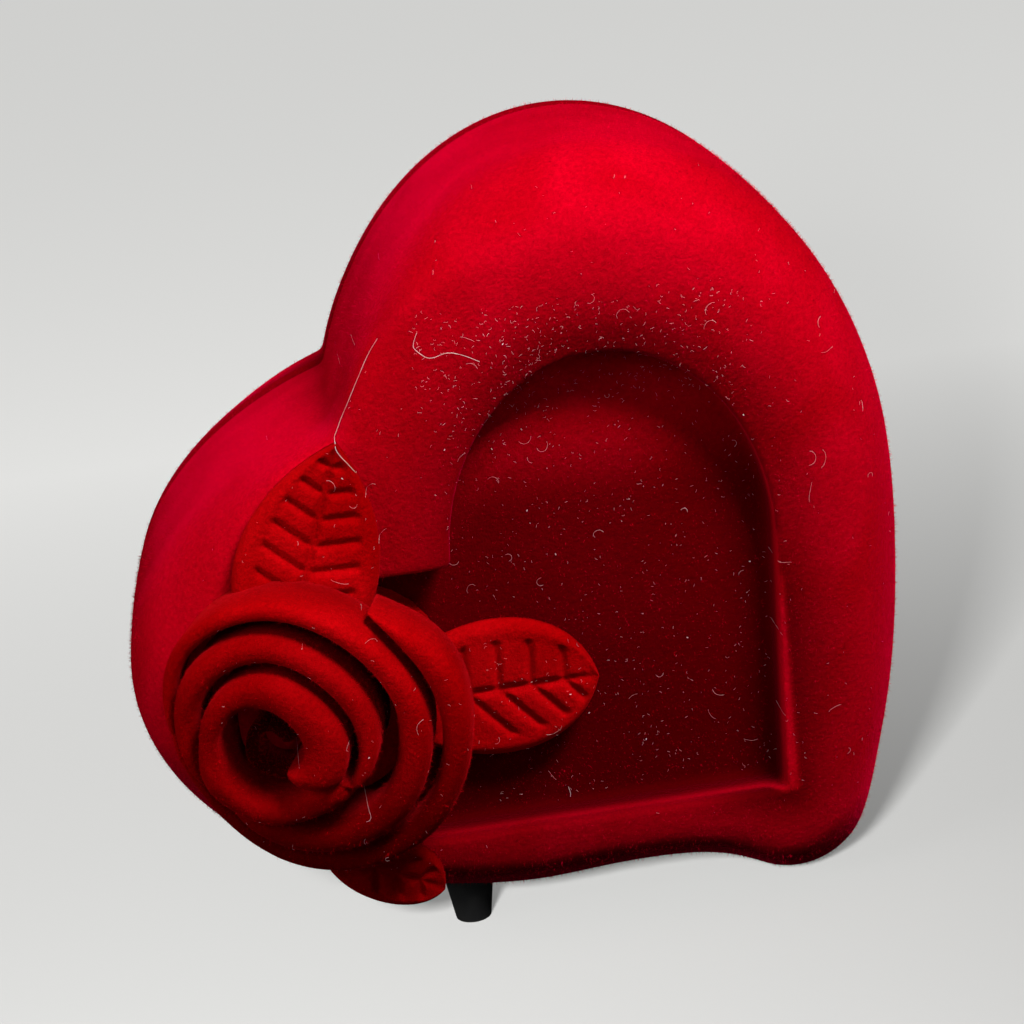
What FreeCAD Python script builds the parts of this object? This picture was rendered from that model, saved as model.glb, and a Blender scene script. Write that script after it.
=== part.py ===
import FreeCAD, Part

import math
import os

from FreeCAD import Placement, Rotation, Vector

# A wind-up music box: a hollow flocked case shaped like a heart that stands on its side, with an
# arched recess in its face, a rose with three leaves, and an 18-note movement wound from behind.
#
# Lengths are in millimetres. The heart frame has x to the right, y backwards from the face and z
# up from the ground. The movement is drawn lying on its bedplate, with z up from the plate, and is
# then stood on end against the inside of the back cover, so its z runs towards the face.

# ---- the case ------------------------------------------------------------------------------
CASE_DEPTH = 55.0
SEAM_Y = 46.0                    # where the front shell ends and the back cover begins
SEAM_GAP = 0.1
WALL = 2.2
FACE_ROUND = 12.0                # how far the face stands in from the outline
FACE_ROUND_DEPTH = 13.0          # how far back that rounding reaches
BACK_ROUND = 6.0

TOP_LOBE_CENTRE = (42.0, 62.6)
TOP_LOBE_SEMI = (43.0, 56.6)
LEFT_LOBE_CENTRE = (25.5, 45.4)
LEFT_LOBE_SEMI = (59.0, 41.1)
TIP_CENTRE = (65.2, 12.7)
TIP_RADIUS = 12.7
TIP_RIGHT_ANGLE = -17.0          # the tip's arc runs from here ...
TIP_LEFT_ANGLE = -122.0          # ... round underneath to here
FLANK_PULL_TOP = 26.0            # how straight the right flank leaves the lobe and the tip
FLANK_PULL_TIP = 15.0
BASE_PULL_TIP = 10.4
BASE_PULL_LOBE = 6.2
CLEFT_FADE_TOP = 60.0            # degrees of each lobe over which the rounding fades to nothing
CLEFT_FADE_LEFT = 50.0           # towards the cleft, which keeps its full depth
CLEFT_GUESS_X = 3.0              # the crossing of the two lobes is searched for from here
CLEFT_STEPS = 30
TIP_RISE = 0.3                   # how the rounding moves and shrinks the tip's arc
TIP_SHRINK = 0.62
FACE_SECTIONS = (0, 15, 32, 50, 70, 90)   # degrees round the edge at which each outline is drawn
BACK_SECTIONS = (0, 22, 45, 67, 90)

ARCH_CENTRE_X = 40.5
ARCH_HALF_WIDTH = 24.3
ARCH_SPRING_Z = 60.1
ARCH_RISE = 30.4
ARCH_BOTTOM_Z = 17.4
ARCH_FOOT_INSET = 1.8            # the arch's sides draw in by this much at the bottom
RECESS_DEPTH = 8.5
RECESS_WALL = 1.8
NOTCH_LEFT_X = 0.0               # the recess runs on to the left here, under the rose
NOTCH_TOP_Z = 61.0

LIP_GAP = 0.15
LIP_THICKNESS = 1.4
LIP_LENGTH = 3.0
LIP_ROOT = 1.5

POST_PLACES = [(44.0, 103.0), (-20.0, 56.0), (68.0, 13.0)]
POST_RADIUS = 3.2
POST_START_Y = 1.0               # just under the face, so that posts and recess walls join it
POST_GAP = 0.2
PILOT_RADIUS = 1.25
PILOT_DEPTH = 16.0
SCREW_CLEARANCE = 0.1
SLOT_WIDTH = 0.6
SLOT_DEPTH = 0.7
CASE_SCREW_RADIUS = 1.2
CASE_SCREW_HEAD_RADIUS = 2.3
CASE_SCREW_HEAD = 1.6
CASE_SCREW_LENGTH = 14.0
COUNTERBORE_RADIUS = 2.6
COUNTERBORE_DEPTH = 2.0

FOOT_X = 13.0
FOOT_YS = {"foot_front": 9.5, "foot_rear": 42.0}
FOOT_TOP_RADIUS = 4.2
FOOT_BOTTOM_RADIUS = 2.8
FOOT_HEIGHT = 9.0

# ---- the rose and its leaves ---------------------------------------------------------------
ROSE_CENTRE = Vector(-4.0, -2.0, 43.3)
ROSE_AXIS = Vector(-0.27, -0.96, -0.08)
ROSE_BACKING_RADIUS = 14.5
ROSE_BACKING_DEPTH = 22.0
PETAL_THICKNESS = 3.0
# name: (radius at the foot, radius at the rim, height, sideways shift, where it starts, how far
# it wraps); the roll is off centre, so that the petals open out on the right
PETALS = {
    "rose_petal_1": (14.0, 20.8, 8.0, 0.0, 170.0, 250.0),
    "rose_petal_2": (10.8, 16.6, 10.5, -1.2, 237.0, 300.0),
    "rose_petal_3": (7.4, 12.2, 12.8, -2.6, 337.0, 235.0),
    "rose_petal_4": (4.2, 8.0, 14.8, -3.8, 342.0, 350.0),
}
BUD_FOOT_RADIUS = 1.8
BUD_TOP_RADIUS = 3.4
BUD_HEIGHT = 13.0
BUD_SHIFT = -4.6
LEAF_THICKNESS = 2.0
LEAF_BULGE = 4 / 3                # a Bezier curve's poles stand this much wider than the curve
# name: (base point, tip point, half width, how far along the outline swells and closes);
# each base is tucked under the rose
LEAVES = {
    "leaf_upper": (Vector(-9.5, -2.0, 52.0), Vector(2.0, -0.4, 83.0), 10.6, 0.05, 0.66),
    "leaf_right": (Vector(1.0, 5.4, 39.5), Vector(36.3, 4.0, 40.2), 10.9, 0.3, 0.9),
    "leaf_lower": (Vector(-6.0, -1.8, 24.0), Vector(8.0, 0.6, 10.4), 6.6, 0.3, 0.95),
}

# ---- the movement --------------------------------------------------------------------------
MOVEMENT_X = 40.0
MOVEMENT_Z = 56.0
BOSS_HEIGHT = 1.3
PLATE_WIDTH = 50.0
PLATE_HEIGHT = 44.0
PLATE_THICKNESS = 2.2
PLATE_CORNER = 3.0
MOUNT_PLACES = [(-21.0, -18.5), (21.5, 18.5), (-21.0, 18.5)]
MOUNT_SCREW_RADIUS = 1.2
MOUNT_HOLE_RADIUS = 1.3
MOUNT_BOSS_RADIUS = 3.4
MOUNT_SCREW_HEAD_RADIUS = 2.3
MOUNT_SCREW_HEAD = 1.6
MOUNT_SCREW_OVERRUN = 0.6

BARREL_X = -14.0
BARREL_Y = 4.0
BARREL_RADIUS = 10.8
BARREL_WALL = 0.8
BARREL_BOTTOM_Z = 2.8
BARREL_LID_Z = 10.0
LID_THICKNESS = 0.9
ARBOR_RADIUS = 2.0
ARBOR_CLEARANCE = 0.06
ARBOR_TOP_Z = 17.0
COLLAR_RADIUS = 2.6
SPRING_THICKNESS = 0.35
SPRING_PITCH = 1.15
SPRING_HALF_TURNS = 12
SPRING_INNER_RADIUS = 2.5

CROWN_TEETH = 36
CROWN_RADIUS = 9.5               # where the pinion's teeth run
CROWN_TOOTH_LENGTH = 1.4
CROWN_TOOTH_THICKNESS = 0.55
CROWN_TOOTH_HEIGHT = 1.1
PINION_TEETH = 9
PINION_LENGTH = 2.2

CYLINDER_Z = 14.0
CYLINDER_RADIUS = 6.5
CYLINDER_START_X = -0.4
CYLINDER_LENGTH = 18.8
CYLINDER_WALL = 0.8
CYLINDER_ARBOR_RADIUS = 1.0
RUNNING_GAP = 0.05
PIN_TRACKS = 18
FEWEST_PINS = 5
PIN_COUNT_SPREAD = 4
GOLDEN_ANGLE = 137.5             # degrees by which each track's pins are turned from the last
PIN_RADIUS = 0.2
PIN_HEIGHT = 0.5
TRACK_PITCH = 1.0
TRACK_START = 0.3
LUG_THICKNESS = 1.6
LUG_HALF_WIDTH = 3.0
LEFT_LUG_X = -2.7
RIGHT_LUG_X = 21.0

TRAIN_MODULE = 0.4
WHEEL_TEETH = 40
TRAIN_PINION_TEETH = 8
WHEEL_X = 18.8
WHEEL_WIDTH = 1.7
TRAIN_Z = 12.0
TRAIN_ARBOR_RADIUS = 0.5
TRAIN_ARBOR_X = (17.1, 24.7)
WORM_WHEEL_TEETH = 20
WORM_WHEEL_RADIUS = 4.4
WORM_WHEEL_X = 21.4
WORM_WHEEL_WIDTH = 1.6
WORM_RADIUS = 1.45
WORM_CORE_RADIUS = 1.0
WORM_TURNS = 5
WORM_THREAD_WIDTH = 0.45
WORM_THREAD_HEIGHT = 0.8
FAN_RADIUS = 5.0
FAN_Z = 17.1
FAN_HEIGHT = 3.0
FAN_THICKNESS = 0.7
FAN_HUB_RADIUS = 1.5
PIVOT_RADIUS = 0.4
PIVOT_GAP = 0.04
WORM_SHAFT_Z = (3.8, 16.9)       # the thick part of the worm shaft
BRACKET_THICKNESS = 1.2
BRACKET_ARM_Z = 20.4
BRACKET_ARM_HALF = 2.0
CHEEK_HALF_WIDTH = 2.4
BRACKET_LEFT_X = 16.2
BRACKET_RIGHT_X = 24.8
BRACKET_FRONT_Y = -18.7
BRACKET_BACK_Y = -2.8
BRACKET_SCREWS = [(18.1, -15.2), (23.0, -15.3)]
TRAIN_CHEEK_X = 17.0

BRIDGE_Z = 12.4
BRIDGE_THICKNESS = 1.2
BRIDGE_HALF_WIDTH = 3.0
BRIDGE_LEG_Y = -9.0
BRIDGE_SCREWS = [(-16.4, -13.6), (-11.6, -13.6)]
SMALL_SCREW_RADIUS = 0.8
SMALL_HEAD_RADIUS = 1.7
SMALL_HEAD = 1.0

CLUTCH_WIRE = 0.3
CLUTCH_PITCH = 0.65
CLUTCH_TURNS = 3

COMB_Z = 13.6
COMB_THICKNESS = 1.0
COMB_BACK_Y = 21.8
COMB_ROOT_Y = 17.0               # where the longest teeth spring from the comb's back
COMB_ROOT_SLOPE = 2.6            # the shortest teeth spring from this much nearer the tips
COMB_SEAT_Y = 17.4
COMB_SCREW_Y = 19.6
COMB_TOOTH_WIDTH = 0.8
COMB_TIP_GAP = 0.15
COMB_SCREW_RADIUS = 1.2
COMB_SCREW_HEAD = 1.4
COMB_SCREW_LENGTH = 8.0
COMB_SCREW_XS = [3.0, 15.4]

KEY_HUB_RADIUS = 3.2
KEY_HUB_LENGTH = 9.0
KEY_STANDOFF = 0.8
KEY_BORE_DEPTH = 7.0
KEY_FIT = 0.02
KEY_BOW_RADIUS = 6.5
KEY_BOW_SPREAD = 6.0
KEY_BOW_THICKNESS = 2.0
KEY_BOW_OVERLAP = 1.95
KEY_EYE_RADIUS = 2.6
ARBOR_HOLE_RADIUS = 3.0

X, Y, Z = Vector(1, 0, 0), Vector(0, 1, 0), Vector(0, 0, 1)


# ---- small shapes --------------------------------------------------------------------------
def rod(start, axis, radius, length):
    return Part.makeCylinder(radius, length, start, axis)


def tube(start, axis, outer, inner, length):
    return rod(start, axis, outer, length).cut(rod(start, axis, inner, length))


def block(low, high):
    low, high = Vector(*low), Vector(*high)
    size = high - low
    return Part.makeBox(size.x, size.y, size.z, low)


def prism(points, along):
    return Part.Face(Part.makePolygon(points + points[:1])).extrude(along)


def join(shapes):
    return shapes[0].multiFuse(shapes[1:]).removeSplitter()


def drill(shape, holes):
    return shape.cut(Part.makeCompound(holes))


def smooth_step(t):
    t = min(1.0, max(0.0, t))
    return t * t * (3 - 2 * t)


# ---- the heart's outline -------------------------------------------------------------------
def bezier(p0, p1, p2, p3, steps):
    points = []
    for i in range(1, steps):
        t = i / steps
        near = p0 * (1 - t) ** 3 + p1 * (3 * t * (1 - t) ** 2)
        far = p2 * (3 * t * t * (1 - t)) + p3 * t**3
        points.append(near + far)
    return points


def on_ellipse(centre, semi, angle, inset=0.0):
    """A point of an ellipse in the XZ plane, moved inwards along the ellipse's normal."""
    nx, nz = math.cos(angle) / semi[0], math.sin(angle) / semi[1]
    length = math.hypot(nx, nz)
    x = centre[0] + semi[0] * math.cos(angle) - inset * nx / length
    z = centre[1] + semi[1] * math.sin(angle) - inset * nz / length
    return Vector(x, 0, z)


def on_circle(centre, radius, angle):
    return Vector(centre[0] + radius * math.cos(angle), 0, centre[1] + radius * math.sin(angle))


def cleft_angles(top_semi, left_semi):
    """Where the two lobes' ellipses cross at the cleft, as an angle on each."""
    x = CLEFT_GUESS_X
    for _ in range(CLEFT_STEPS):
        along = (x - LEFT_LOBE_CENTRE[0]) / left_semi[0]
        z = LEFT_LOBE_CENTRE[1] + left_semi[1] * math.sqrt(1 - along**2)
        up = (z - TOP_LOBE_CENTRE[1]) / top_semi[1]
        x = TOP_LOBE_CENTRE[0] - top_semi[0] * math.sqrt(1 - up**2)
    top = math.atan2((z - TOP_LOBE_CENTRE[1]) / top_semi[1], (x - TOP_LOBE_CENTRE[0]) / top_semi[0])
    left = math.atan2((z - LEFT_LOBE_CENTRE[1]) / left_semi[1], (x - LEFT_LOBE_CENTRE[0]) / left_semi[0])
    return top, left


def outline_branches(inset, wall):
    """The heart's outline as two runs of points: tip to cleft over the top lobe, and back to the tip.

    wall moves the whole outline inwards. inset is the face's rounding, which fades out at the cleft."""
    top_semi = (TOP_LOBE_SEMI[0] - wall, TOP_LOBE_SEMI[1] - wall)
    left_semi = (LEFT_LOBE_SEMI[0] - wall, LEFT_LOBE_SEMI[1] - wall)
    top_cleft, left_cleft = cleft_angles(top_semi, left_semi)
    tip = (TIP_CENTRE[0] - TIP_RISE * inset, TIP_CENTRE[1] + TIP_RISE * inset)
    tip_radius = TIP_RADIUS - wall - TIP_SHRINK * inset
    right, left, bottom = math.radians(TIP_RIGHT_ANGLE), math.radians(TIP_LEFT_ANGLE), math.radians(-90)

    tip_right = on_circle(tip, tip_radius, right)
    lobe_right = on_ellipse(TOP_LOBE_CENTRE, top_semi, 0, inset)
    leaving_tip = Vector(-math.sin(right), 0, math.cos(right)) * (FLANK_PULL_TIP * (1 - inset / 40))
    up = [on_circle(tip, tip_radius, bottom + (right - bottom) * i / 4) for i in range(5)]
    up += bezier(tip_right, tip_right + leaving_tip, lobe_right - Z * FLANK_PULL_TOP, lobe_right, 5)
    for i in range(17):
        angle = top_cleft * i / 16
        fade = smooth_step((top_cleft - angle) / math.radians(CLEFT_FADE_TOP))
        up.append(on_ellipse(TOP_LOBE_CENTRE, top_semi, angle, inset * fade))

    down = []
    lobe_bottom_angle = 1.5 * math.pi
    for i in range(19):
        angle = left_cleft + (lobe_bottom_angle - left_cleft) * i / 18
        fade = smooth_step((angle - left_cleft) / math.radians(CLEFT_FADE_LEFT))
        down.append(on_ellipse(LEFT_LOBE_CENTRE, left_semi, angle, inset * fade))
    tip_left = on_circle(tip, tip_radius, left)
    leaving_base = Vector(math.sin(left), 0, -math.cos(left)) * BASE_PULL_TIP
    down += bezier(down[-1], down[-1] + X * BASE_PULL_LOBE, tip_left + leaving_base, tip_left, 5)
    down += [on_circle(tip, tip_radius, left + (bottom - left) * i / 3) for i in range(4)]
    return up, down


def outline_wire(y, inset=0.0, wall=0.0):
    edges = []
    for points in outline_branches(inset, wall):
        curve = Part.BSplineCurve()
        curve.interpolate([p + Y * y for p in points])
        edges.append(curve.toShape())
    return Part.Wire(edges)


def heart_prism(y_from, y_to, wall=0.0):
    return Part.Face(outline_wire(y_from, 0, wall)).extrude(Y * (y_to - y_from))


def rounded_heart(y_face, y_end, wall=0.0):
    """A solid heart whose face rounds into its sides, from y_face back to y_end."""
    wires = []
    for angle in FACE_SECTIONS:
        turn = math.radians(angle)
        y = y_face + FACE_ROUND_DEPTH * (1 - math.cos(turn))
        wires.append(outline_wire(y, FACE_ROUND * (1 - math.sin(turn)), wall))
    dome = Part.makeLoft(wires, True, False)
    return join([dome, heart_prism(y_face + FACE_ROUND_DEPTH, y_end, wall)])


def rounded_back(y_start, y_back, wall=0.0):
    """A solid heart whose back edge is rounded, from y_start to y_back."""
    wires = []
    for angle in BACK_SECTIONS:
        turn = math.radians(angle)
        y = y_back - BACK_ROUND * (1 - math.sin(turn))
        wires.append(outline_wire(y, BACK_ROUND * (1 - math.cos(turn)), wall))
    dome = Part.makeLoft(wires, True, False)
    return join([heart_prism(y_start, y_back - BACK_ROUND, wall), dome])


# ---- the case ------------------------------------------------------------------------------
def arch_face(margin):
    """The arched opening, grown by margin on every side."""
    foot_half = ARCH_HALF_WIDTH - ARCH_FOOT_INSET + margin
    x0, x1 = ARCH_CENTRE_X - foot_half, ARCH_CENTRE_X + foot_half
    z0 = ARCH_BOTTOM_Z - margin
    crown = Part.Ellipse(Vector(0, 0, 0), ARCH_RISE + margin, ARCH_HALF_WIDTH + margin)
    arc = Part.Arc(crown, -math.pi / 2, math.pi / 2).toShape()
    arc.Placement = Placement(Vector(ARCH_CENTRE_X, 0, ARCH_SPRING_Z), Rotation(Z, X, -Y, "ZXY"))
    ends = sorted((v.Point for v in arc.Vertexes), key=lambda p: p.x)
    low_left, low_right = Vector(x0, 0, z0), Vector(x1, 0, z0)
    corners = [ends[0], low_left, low_right, ends[1]]
    sides = [Part.makeLine(a, b) for a, b in zip(corners, corners[1:])]
    return Part.Face(Part.Wire(Part.__sortEdges__([arc] + sides)))


def recess(margin, y_from, y_to):
    """The arched recess with its run-out to the left under the rose."""
    arch = arch_face(margin).extrude(Y * (y_to - y_from))
    arch.translate(Y * y_from)
    low = (NOTCH_LEFT_X - margin, y_from, ARCH_BOTTOM_Z - margin)
    high = (ARCH_CENTRE_X, y_to, NOTCH_TOP_Z + margin)
    return arch.fuse(block(low, high)).removeSplitter()


def make_front_shell(outside):
    inside = rounded_heart(WALL, SEAM_Y + 1, WALL)
    post_length = SEAM_Y - POST_GAP - POST_START_Y
    posts = [rod(Vector(x, POST_START_Y, z), Y, POST_RADIUS, post_length) for x, z in POST_PLACES]
    posts = Part.makeCompound(posts).common(outside)
    housing = recess(RECESS_WALL, POST_START_Y, RECESS_DEPTH + RECESS_WALL).common(outside)
    shell = join([outside.cut(inside), housing] + posts.Solids)
    shell = shell.cut(recess(0, -1, RECESS_DEPTH))
    pilots = [rod(Vector(x, SEAM_Y - PILOT_DEPTH, z), Y, PILOT_RADIUS, PILOT_DEPTH + 1) for x, z in POST_PLACES]
    return drill(shell, pilots)


def make_back_cover():
    start = SEAM_Y + SEAM_GAP
    cover = rounded_back(start, CASE_DEPTH).cut(rounded_back(start - 1, CASE_DEPTH - WALL, WALL))
    lip_inset = WALL + LIP_GAP
    lip_root = heart_prism(start, start + LIP_ROOT, WALL / 2)
    lip = join([heart_prism(start - LIP_LENGTH, start, lip_inset), lip_root])
    lip = lip.cut(heart_prism(start - LIP_LENGTH - 1, start + LIP_ROOT + 1, lip_inset + LIP_THICKNESS))
    floor_y = CASE_DEPTH - WALL
    screw_bosses = [rod(Vector(x, SEAM_Y, z), Y, POST_RADIUS, floor_y + 1 - SEAM_Y) for x, z in POST_PLACES]
    movement_bosses = []
    holes = [rod(barrel_axis_point(floor_y - 1), Y, ARBOR_HOLE_RADIUS, WALL + 2)]
    for x, z in POST_PLACES:
        holes.append(rod(Vector(x, SEAM_Y - 1, z), Y, PILOT_RADIUS + SCREW_CLEARANCE, 20))
        holes.append(rod(Vector(x, CASE_DEPTH - COUNTERBORE_DEPTH, z), Y, COUNTERBORE_RADIUS, 10))
    for x, y in MOUNT_PLACES:
        at = to_heart(Vector(x, y, 0))
        movement_bosses.append(rod(at, Y, MOUNT_BOSS_RADIUS, BOSS_HEIGHT + 1))
        holes.append(rod(at - Y, Y, MOUNT_HOLE_RADIUS, 20))
    inside_room = rounded_back(SEAM_Y - 1, CASE_DEPTH - 0.5, 0.5)
    bosses = Part.makeCompound(screw_bosses + movement_bosses).common(inside_room)
    return drill(join([cover, lip] + bosses.Solids), holes)


def make_case_screws():
    screws = []
    seat = CASE_DEPTH - COUNTERBORE_DEPTH
    for x, z in POST_PLACES:
        head = rod(Vector(x, seat, z), Y, CASE_SCREW_HEAD_RADIUS, CASE_SCREW_HEAD)
        shank = rod(Vector(x, seat - CASE_SCREW_LENGTH, z), Y, CASE_SCREW_RADIUS, CASE_SCREW_LENGTH)
        slot_low = (x - CASE_SCREW_HEAD_RADIUS, seat + CASE_SCREW_HEAD - SLOT_DEPTH, z - SLOT_WIDTH / 2)
        slot_high = (x + CASE_SCREW_HEAD_RADIUS, seat + CASE_SCREW_HEAD + 1, z + SLOT_WIDTH / 2)
        screws.append(head.fuse(shank).removeSplitter().cut(block(slot_low, slot_high)))
    return Part.makeCompound(screws)


def make_foot(y, solid_heart):
    """A tapered rubber foot whose top is shaped to the underside of the case."""
    foot = Part.makeCone(FOOT_BOTTOM_RADIUS, FOOT_TOP_RADIUS, FOOT_HEIGHT, Vector(FOOT_X, y, 0), Z)
    return biggest(foot.cut(solid_heart))


def biggest(shape):
    return max(shape.Solids, key=lambda s: s.Volume)


# ---- the rose and its leaves ---------------------------------------------------------------
def rose_frame():
    """The placement that carries a flower drawn up the z axis onto the case, its X to the right."""
    axis = Vector(ROSE_AXIS).normalize()
    return Placement(ROSE_CENTRE, Rotation(X, Z, axis, "ZXY"))


def make_petal(foot_radius, rim_radius, height, shift, start, sweep):
    """A wall that flares out to a rounded, rolled-over rim and wraps most of the way round."""
    half = PETAL_THICKNESS / 2
    lean = math.atan2(height - half, rim_radius - foot_radius)
    across = Vector(-math.sin(lean), 0, math.cos(lean)) * half
    foot = Vector(foot_radius - half, 0, 0)
    rim = Vector(rim_radius - half, 0, height - half)
    roll = Vector(math.cos(lean), 0, math.sin(lean)) * half
    inner = Part.makeLine(foot + across, rim + across)
    edge = Part.Arc(rim + across, rim + roll, rim - across).toShape()
    outer_foot = foot - across
    outer = Part.makeLine(rim - across, outer_foot)
    base = Part.makeLine(outer_foot, foot + across)
    wall = Part.Face(Part.Wire([inner, edge, outer, base])).revolve(Vector(), Z, sweep)
    wall.rotate(Vector(), Z, start)
    below = rod(Vector(0, 0, -2 * PETAL_THICKNESS), Z, rim_radius, 2 * PETAL_THICKNESS)
    wall = wall.cut(below)
    wall.translate(X * shift)
    return wall


def make_rose(solid_case):
    """The backing that fills up to the tilted flower, the petals and the bud."""
    backing = rod(Vector(0, 0, -ROSE_BACKING_DEPTH), Z, ROSE_BACKING_RADIUS, ROSE_BACKING_DEPTH)
    pieces = {"rose_backing": backing}
    for name, values in PETALS.items():
        pieces[name] = make_petal(*values)
    pieces["rose_bud"] = Part.makeCone(BUD_FOOT_RADIUS, BUD_TOP_RADIUS, BUD_HEIGHT, X * BUD_SHIFT)
    placed = {}
    inner = []
    for name in reversed(list(pieces)):
        piece = pieces[name].copy()
        if inner and name != "rose_backing":
            piece = piece.cut(Part.makeCompound(inner))
        inner.append(pieces[name])
        piece.Placement = rose_frame()
        placed[name] = biggest(piece.cut(solid_case))
    return placed


def make_leaf(base, tip, half_width, swell, close):
    """A pointed plate that lies on the line from base to tip."""
    span = tip - base
    across = span.cross(Y).normalize()
    out = across.cross(span).normalize()
    if out.y > 0:
        out = out * -1
    edges = []
    for side in (1, -1):
        bulge = across * (side * half_width * LEAF_BULGE)
        curve = Part.BezierCurve()
        curve.setPoles([base, base + bulge + span * swell, base + bulge + span * close, tip])
        edges.append(curve.toShape())
    return Part.Face(Part.Wire(edges)).extrude(out * LEAF_THICKNESS)


# ---- the movement: shared shapes -----------------------------------------------------------
def back_face_y():
    """Where the back of the bedplate stands in the heart frame."""
    return CASE_DEPTH - WALL - BOSS_HEIGHT


def to_heart(point):
    return Vector(MOVEMENT_X + point.x, back_face_y() - point.z, MOVEMENT_Z + point.y)


def stand_up(shape):
    """Carry a shape drawn on the bedplate into the heart frame."""
    placed = shape.copy()
    placed.rotate(Vector(), X, 90)
    placed.translate(Vector(MOVEMENT_X, back_face_y(), MOVEMENT_Z))
    return placed


def barrel_axis_point(y):
    return Vector(MOVEMENT_X + BARREL_X, y, MOVEMENT_Z + BARREL_Y)


def screw(seat, into, head_radius, head_height, radius, length):
    """A slotted cheese-head screw whose head sits on seat and whose shank runs along into."""
    head = rod(seat, into * -1, head_radius, head_height)
    shank = rod(seat, into, radius, length)
    top = seat - into * head_height
    sideways = X if abs(into.x) < 0.5 else Y
    other = into.cross(sideways)
    corner = top - sideways * (head_radius + 1) - other * (SLOT_WIDTH / 2)
    slot_ends = [corner, corner + sideways * (2 * head_radius + 2)]
    slot_ends += [slot_ends[1] + other * SLOT_WIDTH, corner + other * SLOT_WIDTH]
    slot = prism([p - into for p in slot_ends], into * (1 + SLOT_DEPTH))
    return head.fuse(shank).removeSplitter().cut(slot)


def gear(teeth, root_radius, tip_radius, root_half, tip_half, phase):
    """The outline of a gear in the XY plane; one tooth points along phase, in degrees."""
    points = []
    for k in range(teeth):
        middle = math.radians(phase + 360.0 * k / teeth)
        for radius, half, side in (
            (root_radius, root_half, -1),
            (tip_radius, tip_half, -1),
            (tip_radius, tip_half, 1),
            (root_radius, root_half, 1),
        ):
            angle = middle + side * half / radius
            points.append(Vector(radius * math.cos(angle), radius * math.sin(angle), 0))
    return points


def gear_on_x(outline, x, y, z, width):
    """Extrude a gear outline along x; its own X and Y become the movement's y and z."""
    return prism([Vector(x, y + p.x, z + p.y) for p in outline], X * width)


# ---- the movement: fixed parts -------------------------------------------------------------
def make_lug(x):
    low = (x, BARREL_Y - LUG_HALF_WIDTH, 0)
    high = (x + LUG_THICKNESS, BARREL_Y + LUG_HALF_WIDTH, CYLINDER_Z)
    return block(low, high).fuse(rod(Vector(x, BARREL_Y, CYLINDER_Z), X, LUG_HALF_WIDTH, LUG_THICKNESS))


def make_bedplate():
    half_x, half_y = PLATE_WIDTH / 2, PLATE_HEIGHT / 2
    plate = block((-half_x, -half_y, 0), (half_x, half_y, PLATE_THICKNESS))
    upright = [e for e in plate.Edges if abs(e.tangentAt(0).z) > 0.9]
    plate = plate.makeFillet(PLATE_CORNER, upright)
    seat = block((COMB_SCREW_XS[0] - 3.5, COMB_SEAT_Y, 0), (COMB_SCREW_XS[1] + 3.1, COMB_BACK_Y, COMB_Z))
    frame = join([plate, seat, make_lug(LEFT_LUG_X), make_lug(RIGHT_LUG_X)])
    holes = [rod(Vector(BARREL_X, BARREL_Y, -1), Z, ARBOR_RADIUS + ARBOR_CLEARANCE, 5)]
    holes.append(rod(Vector(LEFT_LUG_X - 1, BARREL_Y, CYLINDER_Z), X, CYLINDER_ARBOR_RADIUS + RUNNING_GAP, 40))
    for x, y in MOUNT_PLACES:
        holes.append(rod(Vector(x, y, -1), Z, MOUNT_HOLE_RADIUS, 5))
    for x in COMB_SCREW_XS:
        holes.append(rod(Vector(x, COMB_SCREW_Y, COMB_Z - 9), Z, COMB_SCREW_RADIUS + RUNNING_GAP, 10))
    for x, y in BRIDGE_SCREWS + BRACKET_SCREWS:
        holes.append(rod(Vector(x, y, -1), Z, SMALL_SCREW_RADIUS + RUNNING_GAP, 5))
    return drill(frame, holes)


def make_comb():
    """A flat steel comb of tuned teeth, longest at the left."""
    left = CYLINDER_START_X + TRACK_START
    right = left + PIN_TRACKS * TRACK_PITCH
    tip_y = BARREL_Y + CYLINDER_RADIUS + PIN_HEIGHT + COMB_TIP_GAP
    short_root = COMB_ROOT_Y - COMB_ROOT_SLOPE
    corners = [(left, COMB_ROOT_Y), (right, short_root), (right, COMB_BACK_Y), (left, COMB_BACK_Y)]
    back = prism([Vector(x, y, COMB_Z) for x, y in corners], Z * COMB_THICKNESS)
    parts = [back]
    for i in range(PIN_TRACKS):
        middle = left + (i + 0.5) * TRACK_PITCH
        low = (middle - COMB_TOOTH_WIDTH / 2, tip_y, COMB_Z)
        high = (middle + COMB_TOOTH_WIDTH / 2, COMB_ROOT_Y + 0.2, COMB_Z + COMB_THICKNESS)
        parts.append(block(low, high))
    holes = [
        rod(Vector(x, COMB_SCREW_Y, COMB_Z - 1), Z, COMB_SCREW_RADIUS + SCREW_CLEARANCE, 3) for x in COMB_SCREW_XS
    ]
    return drill(join(parts), holes)


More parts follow.
